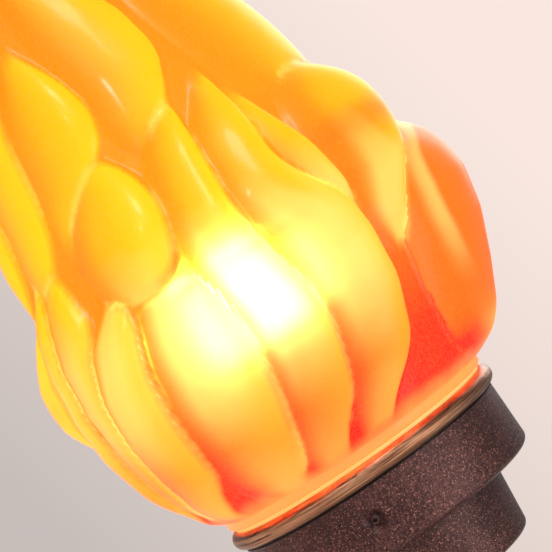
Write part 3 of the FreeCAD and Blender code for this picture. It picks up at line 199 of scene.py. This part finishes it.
def tongue_field(heights, places):
    """Rise of the tallest tongue at each height and place, where across it, its lead and its size.

    Across a tongue s runs from -1 to 1, and t = (s - tilt) / (1 - tilt s) moves its crest
    towards its right edge.  Its rise is relief (1 - t^2)^0.6, and the tallest tongue shows.
    The lead is how far it stands over the next tallest, so it is 0 where two tongues meet.
    The size is that tongue's own relief at its crest.
    """
    tongues = list(FRONT_TONGUES)
    tongues += [[(row[0], row[1] + turn, row[2], row[3]) for row in FRONT_TONGUES[number]]
                for number, turn in BACK_COPIES]
    rise = np.zeros((len(heights), len(places)))
    second = np.zeros_like(rise)
    across = np.zeros_like(rise)
    size = np.zeros_like(rise)
    for rows in tongues:
        middle = eased_column(rows, 1, heights)[:, None]
        half_width = eased_column(rows, 2, heights)[:, None]
        relief = eased_column(rows, 3, heights)[:, None]
        apart = (places[None, :] - middle + 180.0) % 360.0 - 180.0
        share = np.clip(apart / half_width, -1.0, 1.0)
        tilted = (share - TONGUE_TILT) / (1.0 - TONGUE_TILT * share)
        own = relief * (1.0 - tilted ** 2) ** TONGUE_FULLNESS
        across = np.where(own > rise, share, across)
        size = np.where(own > rise, relief, size)
        second = np.maximum(second, np.minimum(rise, own))
        rise = np.maximum(rise, own)
    return rise, across, rise - second, size


def softened(field, rows, columns):
    """The field blurred by a bell curve this many rows and columns wide, round the flame."""
    tall = np.concatenate([field[::-1], field, field[::-1]])
    up = np.fft.fftfreq(tall.shape[0])[:, None]
    around = np.fft.fftfreq(tall.shape[1])[None, :]
    bell = np.exp(-2.0 * math.pi ** 2 * ((up * rows) ** 2 + (around * columns) ** 2))
    return np.fft.ifft2(np.fft.fft2(tall) * bell).real[field.shape[0]:2 * field.shape[0]]


def skin_rows(heights, places, rise, wall):
    """Rows of the flame's skin: hollow radius plus rise, less the wall, swaying sideways up high."""
    hollows = np.interp(heights, HOLLOWS[:, 0], HOLLOWS[:, 1])[:, None]
    radius = np.maximum(hollows + rise * TONGUE_RELIEF - wall, TIP_RADIUS)
    up_the_sway = np.clip(heights - SWAY_FROM, 0.0, None) / (FLAME_TIP - SWAY_FROM)
    sway = -UPPER_SWAY * np.sin(math.pi * up_the_sway) ** 2
    angle = np.radians(places)[None, :]
    tall = np.broadcast_to(heights[:, None], radius.shape)
    return np.stack([radius * np.cos(angle), radius * np.sin(angle) + sway[:, None], tall], axis=-1)


def plain_rows(profile, places):
    """Rows of a turned surface through (radius, height) pairs."""
    radius, height = np.array(profile, float).T
    angle = np.radians(places)[None, :]
    tall = np.broadcast_to(height[:, None], (len(radius), len(places)))
    return np.stack([radius[:, None] * np.cos(angle), radius[:, None] * np.sin(angle), tall], axis=-1)


def make_flame():
    """The glass flame: one closed skin, down the inside, round the neck and foot, up the outside."""
    places = np.arange(FLAME_COLUMNS) * 360.0 / FLAME_COLUMNS
    outer_heights = np.concatenate([
        np.linspace(FLAME_FROM, DETAILED_TO, LOWER_ROWS),
        np.linspace(DETAILED_TO + 1.6, FLAME_TIP, UPPER_ROWS),
    ])
    inner_heights = np.linspace(INSIDE_TIP, FLAME_FROM, INNER_ROWS)
    outer_rise, across, lead, size = tongue_field(outer_heights, places)
    inner_rise = tongue_field(inner_heights, places)[0]
    neck_inside, foot_inside = NECK_RADIUS - GLASS_WALL, FOOT_RADIUS - GLASS_WALL
    soft = EDGE_SOFTNESS
    neck_and_foot = [
        (foot_inside - soft, FLAME_FROM - FOOT_BEVEL),
        (foot_inside - FOOT_BEVEL, FOOT_BASE + 0.4),
        (neck_inside + soft, FOOT_BASE),
        (neck_inside, FOOT_BASE - soft),
        (neck_inside, NECK_BASE + soft),
        (neck_inside + soft, NECK_BASE),
        (NECK_RADIUS - soft, NECK_BASE),
        (NECK_RADIUS, NECK_BASE + soft),
        (NECK_RADIUS, FOOT_BASE - soft),
        (NECK_RADIUS + NECK_STEP, FOOT_BASE),
        (FOOT_RADIUS - soft, FOOT_BASE),
        (FOOT_RADIUS, FOOT_BASE + soft),
        (FOOT_RADIUS, FLAME_FROM - soft),
    ]
    bands = [
        skin_rows(inner_heights, places, inner_rise, GLASS_WALL),
        plain_rows(neck_and_foot, places),
        skin_rows(outer_heights, places, outer_rise, 0.0),
    ]
    rows = np.concatenate(bands)
    count = rows.shape[0] * rows.shape[1]
    poles = np.array([rows[0].mean(axis=0) + (0, 0, 0.6), rows[-1].mean(axis=0) + (0, 0, 0.1)])
    points = np.concatenate([rows.reshape(-1, 3), poles])
    faces = [
        ring_quads(rows.shape[0], rows.shape[1]),
        pole_fan(0, rows.shape[1], count, False),
        pole_fan(count - rows.shape[1], rows.shape[1], count + 1, True),
    ]

    # a crease lies lower than the skin around it, near by and, for a smaller share, further off
    wide_share = 0.6
    crease = softened(outer_rise, 4.0, 4.0) - outer_rise
    crease += wide_share * (softened(outer_rise, 10.0, 9.0) - outer_rise)
    meeting = np.where((lead < 0.14) & (outer_rise > 0.2), 1.0, 0.0)

    def mark(values, elsewhere):
        below = np.full((rows.shape[0] - len(outer_heights), len(places)), elsewhere)
        return np.concatenate([np.concatenate([below, values]).ravel(), [elsewhere, elsewhere]])

    height = np.broadcast_to(outer_heights[:, None], outer_rise.shape)
    marks = {
        "height": mark(height / FLAME_TIP, FOOT_BASE / FLAME_TIP),
        "rise": mark(outer_rise, 0.0),
        "across": mark(across, 0.0),
        "crease": mark(crease, 0.0),
        "size": mark(softened(size, 1.0, 1.0), 0.0),
        "seam_highlight": mark(softened(meeting, 0.5, 0.5), 0.0),
    }
    return new_piece("flame_shell", in_place(*points.T), faces, marks)


# ---------------------------------------------------------------- finishes

def shade(red, green, blue):
    """A colour given as it looks, 0 to 255, as the shader wants it."""
    looks = np.array([red, green, blue]) / 255.0
    linear = np.where(looks <= 0.04045, looks / 12.92, ((looks + 0.055) / 1.055) ** 2.4)
    return (*linear.tolist(), 1.0)


class Finish:
    """A material under construction: one shader and the patterns that feed it."""

    def __init__(self, name):
        self.material = bpy.data.materials.new(name)
        self.material.use_nodes = True
        self.tree = self.material.node_tree
        self.shader = self.tree.nodes["Principled BSDF"]

    def node(self, kind, **settings):
        made = self.tree.nodes.new(kind)
        for setting, value in settings.items():
            setattr(made, setting, value)
        return made

    def feed(self, source, socket):
        self.tree.links.new(source, socket)

    def plain(self, **values):
        """Fixed values on the shader's own sockets; underscores stand for spaces."""
        for name, value in values.items():
            self.shader.inputs[name.replace("_", " ")].default_value = value
        return self

    def spot(self, turn=(0.0, 0.0, 0.0), move=(0.0, 0.0, 0.0), stretch=(1.0, 1.0, 1.0)):
        """Object coordinates, moved, turned and stretched."""
        place = self.node("ShaderNodeTexCoord").outputs["Object"]
        mapping = self.node("ShaderNodeMapping", vector_type="TEXTURE")
        mapping.inputs["Location"].default_value = move
        mapping.inputs["Rotation"].default_value = turn
        mapping.inputs["Scale"].default_value = [1.0 / size for size in stretch]
        self.feed(place, mapping.inputs["Vector"])
        return mapping.outputs["Vector"]

    def noise(self, where, scale, detail=3.0, roughness=0.55, distortion=0.0):
        made = self.node("ShaderNodeTexNoise")
        made.inputs["Scale"].default_value = scale
        made.inputs["Detail"].default_value = detail
        made.inputs["Roughness"].default_value = roughness
        made.inputs["Distortion"].default_value = distortion
        self.feed(where, made.inputs["Vector"])
        return made.outputs["Fac"]

    def grains(self, where, scale):
        """Distance from the middle of each grain of a random scatter."""
        made = self.node("ShaderNodeTexVoronoi")
        made.inputs["Scale"].default_value = scale
        self.feed(where, made.inputs["Vector"])
        return made.outputs["Distance"]

    def spread(self, value, low, high, start=0.0, end=1.0):
        """The value's range from low to high eased onto start to end."""
        made = self.node("ShaderNodeMapRange", interpolation_type="SMOOTHSTEP")
        for name, number in (("From Min", low), ("From Max", high), ("To Min", start), ("To Max", end)):
            made.inputs[name].default_value = number
        self.feed(value, made.inputs["Value"])
        return made.outputs["Result"]

    def maths(self, operation, first, second=0.0):
        """One step of arithmetic on outputs or plain numbers."""
        made = self.node("ShaderNodeMath", operation=operation)
        for socket, value in zip(made.inputs, (first, second)):
            if isinstance(value, (int, float)):
                socket.default_value = value
            else:
                self.feed(value, socket)
        return made.outputs["Value"]

    def ramp(self, value, *stops):
        made = self.node("ShaderNodeValToRGB")
        steps = made.color_ramp.elements
        while len(steps) < len(stops):
            steps.new(0.5)
        for step, (position, colour) in zip(steps, stops):
            step.position = position
            step.color = colour
        self.feed(value, made.inputs["Fac"])
        return made.outputs["Color"]

    def blend(self, share, first, second):
        """The first colour turned into the second by the share."""
        made = self.node("ShaderNodeMix", data_type="RGBA")
        colours = [socket for socket in made.inputs if socket.type == "RGBA"]
        for socket, value in zip([made.inputs["Factor"], *colours], (share, first, second)):
            if isinstance(value, (tuple, int, float)):
                socket.default_value = value
            else:
                self.feed(value, socket)
        return next(socket for socket in made.outputs if socket.type == "RGBA")

    def mark(self, name):
        return self.node("ShaderNodeAttribute", attribute_name=name).outputs["Fac"]

    def bumps(self, height, depth, distance=0.0002):
        made = self.node("ShaderNodeBump")
        made.inputs["Strength"].default_value = depth
        made.inputs["Distance"].default_value = distance
        self.feed(height, made.inputs["Height"])
        self.feed(made.outputs["Normal"], self.shader.inputs["Normal"])

    def colour(self, source):
        self.feed(source, self.shader.inputs["Base Color"])

    def roughness(self, source):
        self.feed(source, self.shader.inputs["Roughness"])


def torch_spot(finish):
    """Coordinates about the torch: z along it from the middle of the lip ring."""
    return finish.spot(turn=(LEAN, 0.0, 0.0), move=RING_MIDDLE)


def around_torch(finish, fine):
    """Coordinates that run slowly round the torch, and fine times quicker along it and out from it."""
    parts = finish.node("ShaderNodeSeparateXYZ")
    finish.feed(torch_spot(finish), parts.inputs["Vector"])
    squares = [finish.maths("MULTIPLY", parts.outputs[name], parts.outputs[name]) for name in "XY"]
    out = finish.maths("SQRT", finish.maths("ADD", *squares))
    streak = finish.maths("ADD", finish.maths("MULTIPLY", out, fine),
                          finish.maths("MULTIPLY", parts.outputs["Z"], fine * 1.3))
    together = finish.node("ShaderNodeCombineXYZ")
    for name in "XY":
        finish.feed(finish.maths("MULTIPLY", parts.outputs[name], 0.2), together.inputs[name])
    finish.feed(streak, together.inputs["Z"])
    return together.outputs["Vector"]


def coffee_metallic():
    """Coffee-brown powder coat: a fine leathery grain, copper sparkle on it, and painted shade darkening its
    nooks.
    """
    finish = Finish("coffee_metallic")
    where = finish.spot()
    grain = finish.noise(where, 1700.0, 2.0, 0.7)
    cloud = finish.noise(where, 60.0, 3.0)
    tone = finish.maths("ADD", finish.maths("MULTIPLY", grain, 0.75), finish.maths("MULTIPLY", cloud, 0.25))
    base = finish.ramp(
        tone, (0.36, shade(36, 18, 17)), (0.5, shade(72, 42, 40)), (0.64, shade(116, 76, 71)))
    near = finish.grains(where, 2300.0)
    rare = finish.spread(finish.noise(where, 1300.0, 1.0), 0.52, 0.62)
    sparkle = finish.maths("MULTIPLY", finish.spread(near, 0.42, 0.18), rare)
    # painted shade: an ambient occlusion factor darkens the colour in nooks and recesses
    nook_shade = finish.node("ShaderNodeAmbientOcclusion", samples=8, only_local=False)
    nook_shade.inputs["Distance"].default_value = 0.006
    shaded = finish.spread(nook_shade.outputs["AO"], 0.45, 0.95)
    flecked = finish.blend(sparkle, base, shade(226, 150, 130))
    finish.colour(finish.blend(shaded, shade(20, 9, 8), flecked))
    finish.roughness(finish.spread(finish.noise(where, 900.0, 2.0), 0.3, 0.7, 0.30, 0.46))
    finish.bumps(grain, 0.8, 0.00035)
    return finish.plain(Metallic=0.6, Coat_Weight=0.12, Coat_Roughness=0.3).material


def aged_brass():
    """Darkened copper-toned brass, brushed round the torch, with thin dark lines left in the grooves."""
    finish = Finish("aged_brass")
    grain = finish.noise(around_torch(finish, 7.0), 200.0, 5.0, 0.72)
    lines = finish.noise(around_torch(finish, 5.0), 120.0, 4.0, 0.6)
    worn = finish.noise(finish.spot(), 160.0, 4.0, 0.65)
    base = finish.ramp(
        grain, (0.34, shade(104, 64, 46)), (0.5, shade(168, 118, 88)), (0.66, shade(226, 182, 142)))
    left_dark = finish.spread(worn, 0.36, 0.56, 0.4, 0.9)
    dark = finish.maths("MULTIPLY", finish.spread(lines, 0.54, 0.62), left_dark)
    finish.colour(finish.blend(dark, base, shade(52, 28, 20)))
    finish.roughness(finish.spread(grain, 0.3, 0.7, 0.26, 0.46))
    finish.bumps(grain, 0.7, 0.00015)
    return finish.plain(Metallic=0.9).material


def drawn_brass():
    """Bright drawn brass with faint drawing lines."""
    finish = Finish("drawn_brass")
    grain = finish.noise(around_torch(finish, 5.0), 220.0, 3.0)
    finish.colour(finish.ramp(grain, (0.3, shade(196, 158, 84)), (0.7, shade(232, 200, 126))))
    finish.roughness(finish.spread(grain, 0.3, 0.7, 0.2, 0.34))
    finish.bumps(grain, 0.15, 0.00008)
    return finish.plain(Metallic=1.0).material


def zinc_plate():
    """Zinc plate: cloudy blue-grey with rolling marks."""
    finish = Finish("zinc_plate")
    cloud = finish.noise(finish.spot(), 220.0, 4.0, 0.6)
    lines = finish.noise(finish.spot(stretch=(1.0, 1.0, 14.0)), 160.0, 3.0)
    tone = finish.maths("ADD", finish.maths("MULTIPLY", cloud, 0.6), finish.maths("MULTIPLY", lines, 0.4))
    finish.colour(finish.ramp(
        tone, (0.3, shade(150, 154, 160)), (0.55, shade(196, 199, 203)), (0.75, shade(220, 218, 206))))
    finish.roughness(finish.spread(cloud, 0.3, 0.7, 0.24, 0.42))
    finish.bumps(lines, 0.18, 0.0001)
    return finish.plain(Metallic=1.0).material


def nickel_plate():
    """Nickel plate on the lamp's cap, faintly warm and handled."""
    finish = Finish("nickel_plate")
    smudge = finish.noise(finish.spot(), 260.0, 4.0, 0.6)
    finish.colour(finish.ramp(smudge, (0.3, shade(198, 192, 182)), (0.7, shade(228, 224, 216))))
    finish.roughness(finish.spread(smudge, 0.3, 0.7, 0.16, 0.34))
    finish.bumps(finish.noise(around_torch(finish, 4.0), 200.0, 2.0), 0.12, 0.0001)
    return finish.plain(Metallic=1.0).material


def moulded(name, dark, light, rough=(0.4, 0.55), scale=1400.0, depth=0.2, **plain):
    """A moulded surface: slight clouding in its colour and a fine spark-eroded skin."""
    finish = Finish(name)
    cloud = finish.noise(finish.spot(), 90.0, 3.0)
    skin = finish.noise(finish.spot(), scale, 3.0, 0.6)
    finish.colour(finish.ramp(cloud, (0.3, dark), (0.7, light)))
    finish.roughness(finish.spread(skin, 0.3, 0.7, *rough))
    finish.bumps(skin, depth, 0.0001)
    return finish.plain(**plain).material


def steatite():
    """Unglazed white steatite with small dark specks and a chalky skin."""
    finish = Finish("steatite")
    where = finish.spot()
    cloud = finish.noise(where, 110.0, 3.0)
    base = finish.ramp(cloud, (0.3, shade(226, 219, 204)), (0.7, shade(240, 235, 224)))
    speck = finish.spread(finish.noise(where, 900.0, 1.0), 0.68, 0.76)
    finish.colour(finish.blend(speck, base, shade(150, 136, 118)))
    finish.roughness(finish.spread(finish.noise(where, 500.0, 2.0), 0.3, 0.7, 0.45, 0.65))
    finish.bumps(finish.noise(where, 700.0, 3.0), 0.3, 0.0001)
    return finish.material


# how strongly the lit diffuser shines on its two sides, where 1 is white
LAMP_DIM, LAMP_BRIGHT = 20.0, 900.0


def lit_opal():
    """The lamp's opal diffuser, lit warm white, brighter on the side turned away from the wall."""
    finish = Finish("lit_opal")
    parts = finish.node("ShaderNodeSeparateXYZ")
    finish.feed(torch_spot(finish), parts.inputs["Vector"])
    finish.feed(finish.spread(parts.outputs["Y"], 0.006, -0.013, LAMP_DIM, LAMP_BRIGHT),
                finish.shader.inputs["Emission Strength"])
    cloud = finish.noise(finish.spot(), 130.0, 3.0)
    finish.colour(finish.ramp(cloud, (0.3, shade(250, 238, 214)), (0.7, shade(255, 248, 232))))
    finish.feed(finish.ramp(cloud, (0.3, (1.0, 0.86, 0.70, 1.0)), (0.7, (1.0, 0.92, 0.80, 1.0))),
                finish.shader.inputs["Emission Color"])
    finish.roughness(finish.spread(cloud, 0.3, 0.7, 0.35, 0.5))
    return finish.material


def solder_mask():
    """Green solder mask over copper tracks."""
    finish = Finish("solder_mask")
    tracks = finish.node("ShaderNodeTexBrick")
    tracks.inputs["Scale"].default_value = 260.0
    tracks.inputs["Color1"].default_value = shade(22, 96, 52)
    tracks.inputs["Color2"].default_value = shade(30, 116, 62)
    tracks.inputs["Mortar"].default_value = shade(12, 66, 36)
    finish.feed(torch_spot(finish), tracks.inputs["Vector"])
    finish.colour(tracks.outputs["Color"])
    finish.bumps(tracks.outputs["Fac"], 0.2, 0.0001)
    finish.roughness(finish.spread(finish.noise(finish.spot(), 600.0), 0.3, 0.7, 0.25, 0.4))
    return finish.material


def lead_sleeve(name, dark, light):
    """Soft sleeve of a lead, slightly rippled along its length."""
    finish = Finish(name)
    ripple = finish.noise(finish.spot(), 420.0, 3.0)
    finish.colour(finish.ramp(ripple, (0.3, dark), (0.7, light)))
    finish.roughness(finish.spread(ripple, 0.3, 0.7, 0.35, 0.5))
    finish.bumps(ripple, 0.2, 0.0001)
    return finish.material


def painted_glass():
    """Frosted glass airbrushed from red at the foot through orange to amber, lit from inside.

    Height gives the airbrushed colour.  The hollows, the creases and each tongue's left flank are
    deeper and redder, partly the red paint and partly painted shade, and its right edge is paler,
    partly paint and partly a painted highlight.  The largest tongues are redder all over, narrow
    pale lines where tongues meet are painted highlights, and the colour is paler round the lamp
    as a painted glow where its light comes through.  The colour is also the glass's emission, a
    painted glow that stands in for the lamp's light inside it.  A fine frost breaks it up.
    """
    finish = Finish("painted_glass")
    height, crease, across, rise, size, seam_highlight = [
        finish.mark(name) for name in ("height", "crease", "across", "rise", "size", "seam_highlight")]
    frost = finish.noise(finish.spot(), 1300.0, 3.0, 0.65)
    drift = finish.noise(finish.spot(), 34.0, 3.0)
    wander = finish.maths("MULTIPLY", finish.maths("SUBTRACT", drift, 0.5), 0.05)
    level = finish.maths("ADD", height, wander)

    full = finish.ramp(
        level, (0.022, shade(255, 186, 104)), (0.05, shade(255, 160, 70)), (0.10, shade(255, 128, 36)),
        (0.2, shade(255, 144, 6)), (0.42, shade(255, 172, 4)), (1.0, shade(255, 164, 4)))
    deep = finish.ramp(
        level, (0.024, shade(255, 160, 90)), (0.048, shade(250, 8, 18)), (0.10, shade(250, 26, 8)),
        (0.2, shade(252, 84, 2)), (0.42, shade(254, 128, 2)), (1.0, shade(254, 122, 2)))
    pale = finish.ramp(
        level, (0.022, shade(255, 184, 92)), (0.09, shade(255, 152, 36)), (0.2, shade(255, 174, 8)),
        (0.42, shade(255, 190, 6)), (1.0, shade(255, 182, 6)))

    large = finish.maths("MULTIPLY", finish.spread(size, 1.1, 1.4), finish.spread(level, 0.36, 0.32))
    # deeper, redder colour in the hollows, the creases and each tongue's left flank: partly the red paint, partly
    # painted shade
    hollow = finish.spread(rise, 0.3, 0.0)
    flank = finish.maths("MULTIPLY", finish.spread(across, 0.2, -0.8), finish.spread(rise, 1.15, 0.6))
    crease_shade = finish.spread(crease, 0.06, 0.5)
    depth = finish.maths("MAXIMUM", finish.maths("MAXIMUM", crease_shade, flank), hollow)
    body = finish.blend(depth, full, deep)
    # paler towards each tongue's right edge, out of the creases: partly paint, partly a painted highlight
    edge = finish.maths("MULTIPLY", finish.spread(across, -0.1, 0.8), finish.spread(crease, 0.12, -0.05))
    edge = finish.maths("MULTIPLY", edge, finish.maths("SUBTRACT", 1.0, large))
    body = finish.blend(edge, body, pale)
    body = finish.blend(finish.maths("MULTIPLY", large, 0.9), body, shade(255, 98, 6))
    frosted = finish.blend(finish.spread(frost, 0.35, 0.75, 0.0, 0.06), body, shade(255, 214, 120))

    # the glass's colour goes to emission as a painted glow, and pale lines where tongues meet are painted
    # highlights
    lit = finish.blend(finish.maths("MULTIPLY", seam_highlight, 0.8), frosted, shade(255, 240, 110))
    finish.feed(lit, finish.shader.inputs["Emission Color"])

    # paler colour round the lamp, where its light comes through the glass: a painted glow
    lamp_glow = finish.maths("MULTIPLY", finish.spread(level, 0.10, 0.2), finish.spread(level, 0.36, 0.25))
    lamp_glow = finish.maths("MULTIPLY", lamp_glow, finish.spread(depth, 1.0, 0.2))
    lamp_glow = finish.maths("MULTIPLY", lamp_glow, finish.spread(rise, 1.12, 0.98))
    lamp_glow = finish.maths("MULTIPLY", lamp_glow, finish.spread(across, 0.8, 0.3, 0.3, 0.95))
    finish.colour(finish.blend(lamp_glow, frosted, shade(255, 236, 150)))
    finish.roughness(finish.spread(frost, 0.3, 0.7, 0.34, 0.42))
    finish.bumps(frost, 0.12, 0.0001)
    return finish.plain(Emission_Strength=0.46, Transmission_Weight=0.65, IOR=1.35, Coat_Weight=0.1,
                        Coat_Roughness=0.1, Specular_IOR_Level=0.06).material


FINISHES = {
    "brown": coffee_metallic(),
    "aged_brass": aged_brass(),
    "brass": drawn_brass(),
    "zinc": zinc_plate(),
    "nickel": nickel_plate(),
    # the silicone gasket has a painted glow: a yellow emission standing in for the lit flame's light falling on it
    "silicone": moulded("silicone", shade(214, 196, 160), shade(232, 216, 184), (0.45, 0.6),
                        Emission_Color=shade(255, 200, 50), Emission_Strength=0.5),
    "ceramic": steatite(),
    "holder_black": moulded("holder_black", shade(34, 33, 34), shade(48, 46, 46), (0.42, 0.6), depth=0.35),
    "white_plastic": moulded("white_plastic", shade(226, 225, 219), shade(240, 239, 234), (0.35, 0.5)),
    "diffuser": lit_opal(),
    "board_green": solder_mask(),
    "board_white": moulded("board_white", shade(232, 232, 228), shade(246, 246, 243), (0.3, 0.45)),
    "nylon": moulded("nylon", shade(222, 214, 192), shade(238, 232, 214), (0.35, 0.5)),
    "flame_glass": painted_glass(),
    "lead_brown": lead_sleeve("lead_brown", shade(94, 52, 30), shade(120, 70, 42)),
    "lead_blue": lead_sleeve("lead_blue", shade(28, 76, 150), shade(44, 100, 182)),
    "lead_green": lead_sleeve("lead_green", shade(70, 150, 40), shade(178, 190, 50)),
}

for subpart in frame["record"]["subparts"]:
    for place in frame["nodes"][subpart["node"]].material_slots:
        place.material = FINISHES[subpart["material_slot"]]

flame = make_flame()
flame.data.materials.append(FINISHES["flame_glass"])
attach(flame, "shade")
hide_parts("glass_flame")


# ---------------------------------------------------------------- floor, light and camera

def soft_lamp(name, spot, aim, width, power, tint):
    """A square area lamp at a spot, turned towards its aim."""
    data = bpy.data.lights.new(name, "AREA")
    data.size = width
    data.energy = power
    data.color = tint
    lamp = bpy.data.objects.new(name, data)
    toward = np.array(aim, float) - np.array(spot, float)
    toward /= np.linalg.norm(toward)
    lamp.location = spot
    lamp.rotation_euler = (math.acos(-toward[2]), 0.0, math.atan2(toward[1], toward[0]) - math.pi / 2)
    bpy.context.scene.collection.objects.link(lamp)


def make_floor():
    """A round pale floor just under the sconce, with a faint grain."""
    radius, drop, sides = 1.15, 0.004, 96
    angle = np.radians(np.arange(sides) * 360.0 / sides)
    low, high = np.array(cad_box[0]), np.array(cad_box[1])
    centre = np.array([*(low + high)[:2] / 2, low[2] - drop])
    ring = centre + radius * np.stack([np.cos(angle), np.sin(angle), np.zeros(sides)], axis=-1)
    floor = new_piece("floor", np.concatenate([ring, centre[None]]), [pole_fan(0, sides, sides, True)])
    finish = Finish("pale_floor")
    grain = finish.noise(finish.spot(), 40.0, 4.0)
    finish.colour(finish.ramp(grain, (0.3, shade(238, 230, 226)), (0.7, shade(243, 236, 232))))
    floor.data.materials.append(finish.plain(Roughness=0.8).material)


def make_surroundings():
    """Pale surroundings: seen and mirrored as a warm white that greys to the lower left."""
    world = bpy.data.worlds.new("surroundings")
    bpy.context.scene.world = world
    world.use_nodes = True
    tree = world.node_tree
    add = tree.nodes.new
    sky = tree.nodes["Background"]
    sky.inputs["Color"].default_value = (1.0, 0.97, 0.95, 1.0)
    sky.inputs["Strength"].default_value = 0.3
    seen = add("ShaderNodeBackground")
    where = add("ShaderNodeTexCoord")
    parts = add("ShaderNodeSeparateXYZ")
    tree.links.new(where.outputs["Generated"], parts.inputs["Vector"])
    slope = add("ShaderNodeMath")
    slope.operation = "ADD"
    tree.links.new(parts.outputs["Y"], slope.inputs[0])
    tree.links.new(parts.outputs["Z"], slope.inputs[1])
    tones = add("ShaderNodeMapRange")
    tones.inputs["From Min"].default_value = -0.25
    tones.inputs["From Max"].default_value = 0.2
    tree.links.new(slope.outputs["Value"], tones.inputs["Value"])
    tint = add("ShaderNodeValToRGB")
    steps = tint.color_ramp.elements
    steps[0].color = shade(199, 190, 186)
    steps[1].color = shade(250, 232, 224)
    tree.links.new(tones.outputs["Result"], tint.inputs["Fac"])
    tree.links.new(tint.outputs["Color"], seen.inputs["Color"])
    ways = add("ShaderNodeLightPath")
    either = add("ShaderNodeMath")
    either.operation = "MAXIMUM"
    tree.links.new(ways.outputs["Is Camera Ray"], either.inputs[0])
    tree.links.new(ways.outputs["Is Transmission Ray"], either.inputs[1])
    final = add("ShaderNodeMixShader")
    tree.links.new(either.outputs["Value"], final.inputs["Fac"])
    tree.links.new(sky.outputs["Background"], final.inputs[1])
    tree.links.new(seen.outputs["Background"], final.inputs[2])
    tree.links.new(final.outputs["Shader"], tree.nodes["World Output"].inputs["Surface"])


make_floor()
make_surroundings()

# all lamps aim at the lower part of the flame
AIM = RING_MIDDLE + 0.05 * UP_THE_TORCH
soft_lamp("key", AIM + (0.9, -0.35, 0.9), AIM, 0.35, 7.5, (1.0, 0.96, 0.93))
soft_lamp("fill", AIM + (0.7, 0.9, 0.1), AIM, 0.8, 5.0, (1.0, 0.95, 0.93))
soft_lamp("back", AIM + (-1.0, 0.2, 0.6), AIM, 0.8, 5.0, (1.0, 0.97, 0.95))
SHEEN_SPOT = AIM + 1.1 * LEVEL - 0.5 * TO_THE_WALL - 0.25 * UP_THE_TORCH
soft_lamp("sheen", SHEEN_SPOT, AIM, 0.2, 5.5, (1.0, 0.93, 0.92))
soft_lamp("glint", AIM + (1.1, -0.5, 0.35), AIM, 0.05, 1.2, (1.0, 1.0, 1.0))

# The camera stands level, square to the torch's side, and sees the head from below the ring.
CAMERA_OUT = 603.0
CAMERA_ACROSS = 10.0
CAMERA_UP = 63.4
SEEN_ANGLE = 16.79

camera = bpy.data.objects.new("camera", bpy.data.cameras.new("camera"))
camera.data.angle = math.radians(SEEN_ANGLE)
camera.location = in_place(CAMERA_OUT, CAMERA_ACROSS, CAMERA_UP)
camera.rotation_euler = (math.pi / 2, 0.0, math.pi / 2)
bpy.context.scene.collection.objects.link(camera)
bpy.context.scene.camera = camera
bpy.context.scene.view_settings.view_transform = "Standard"
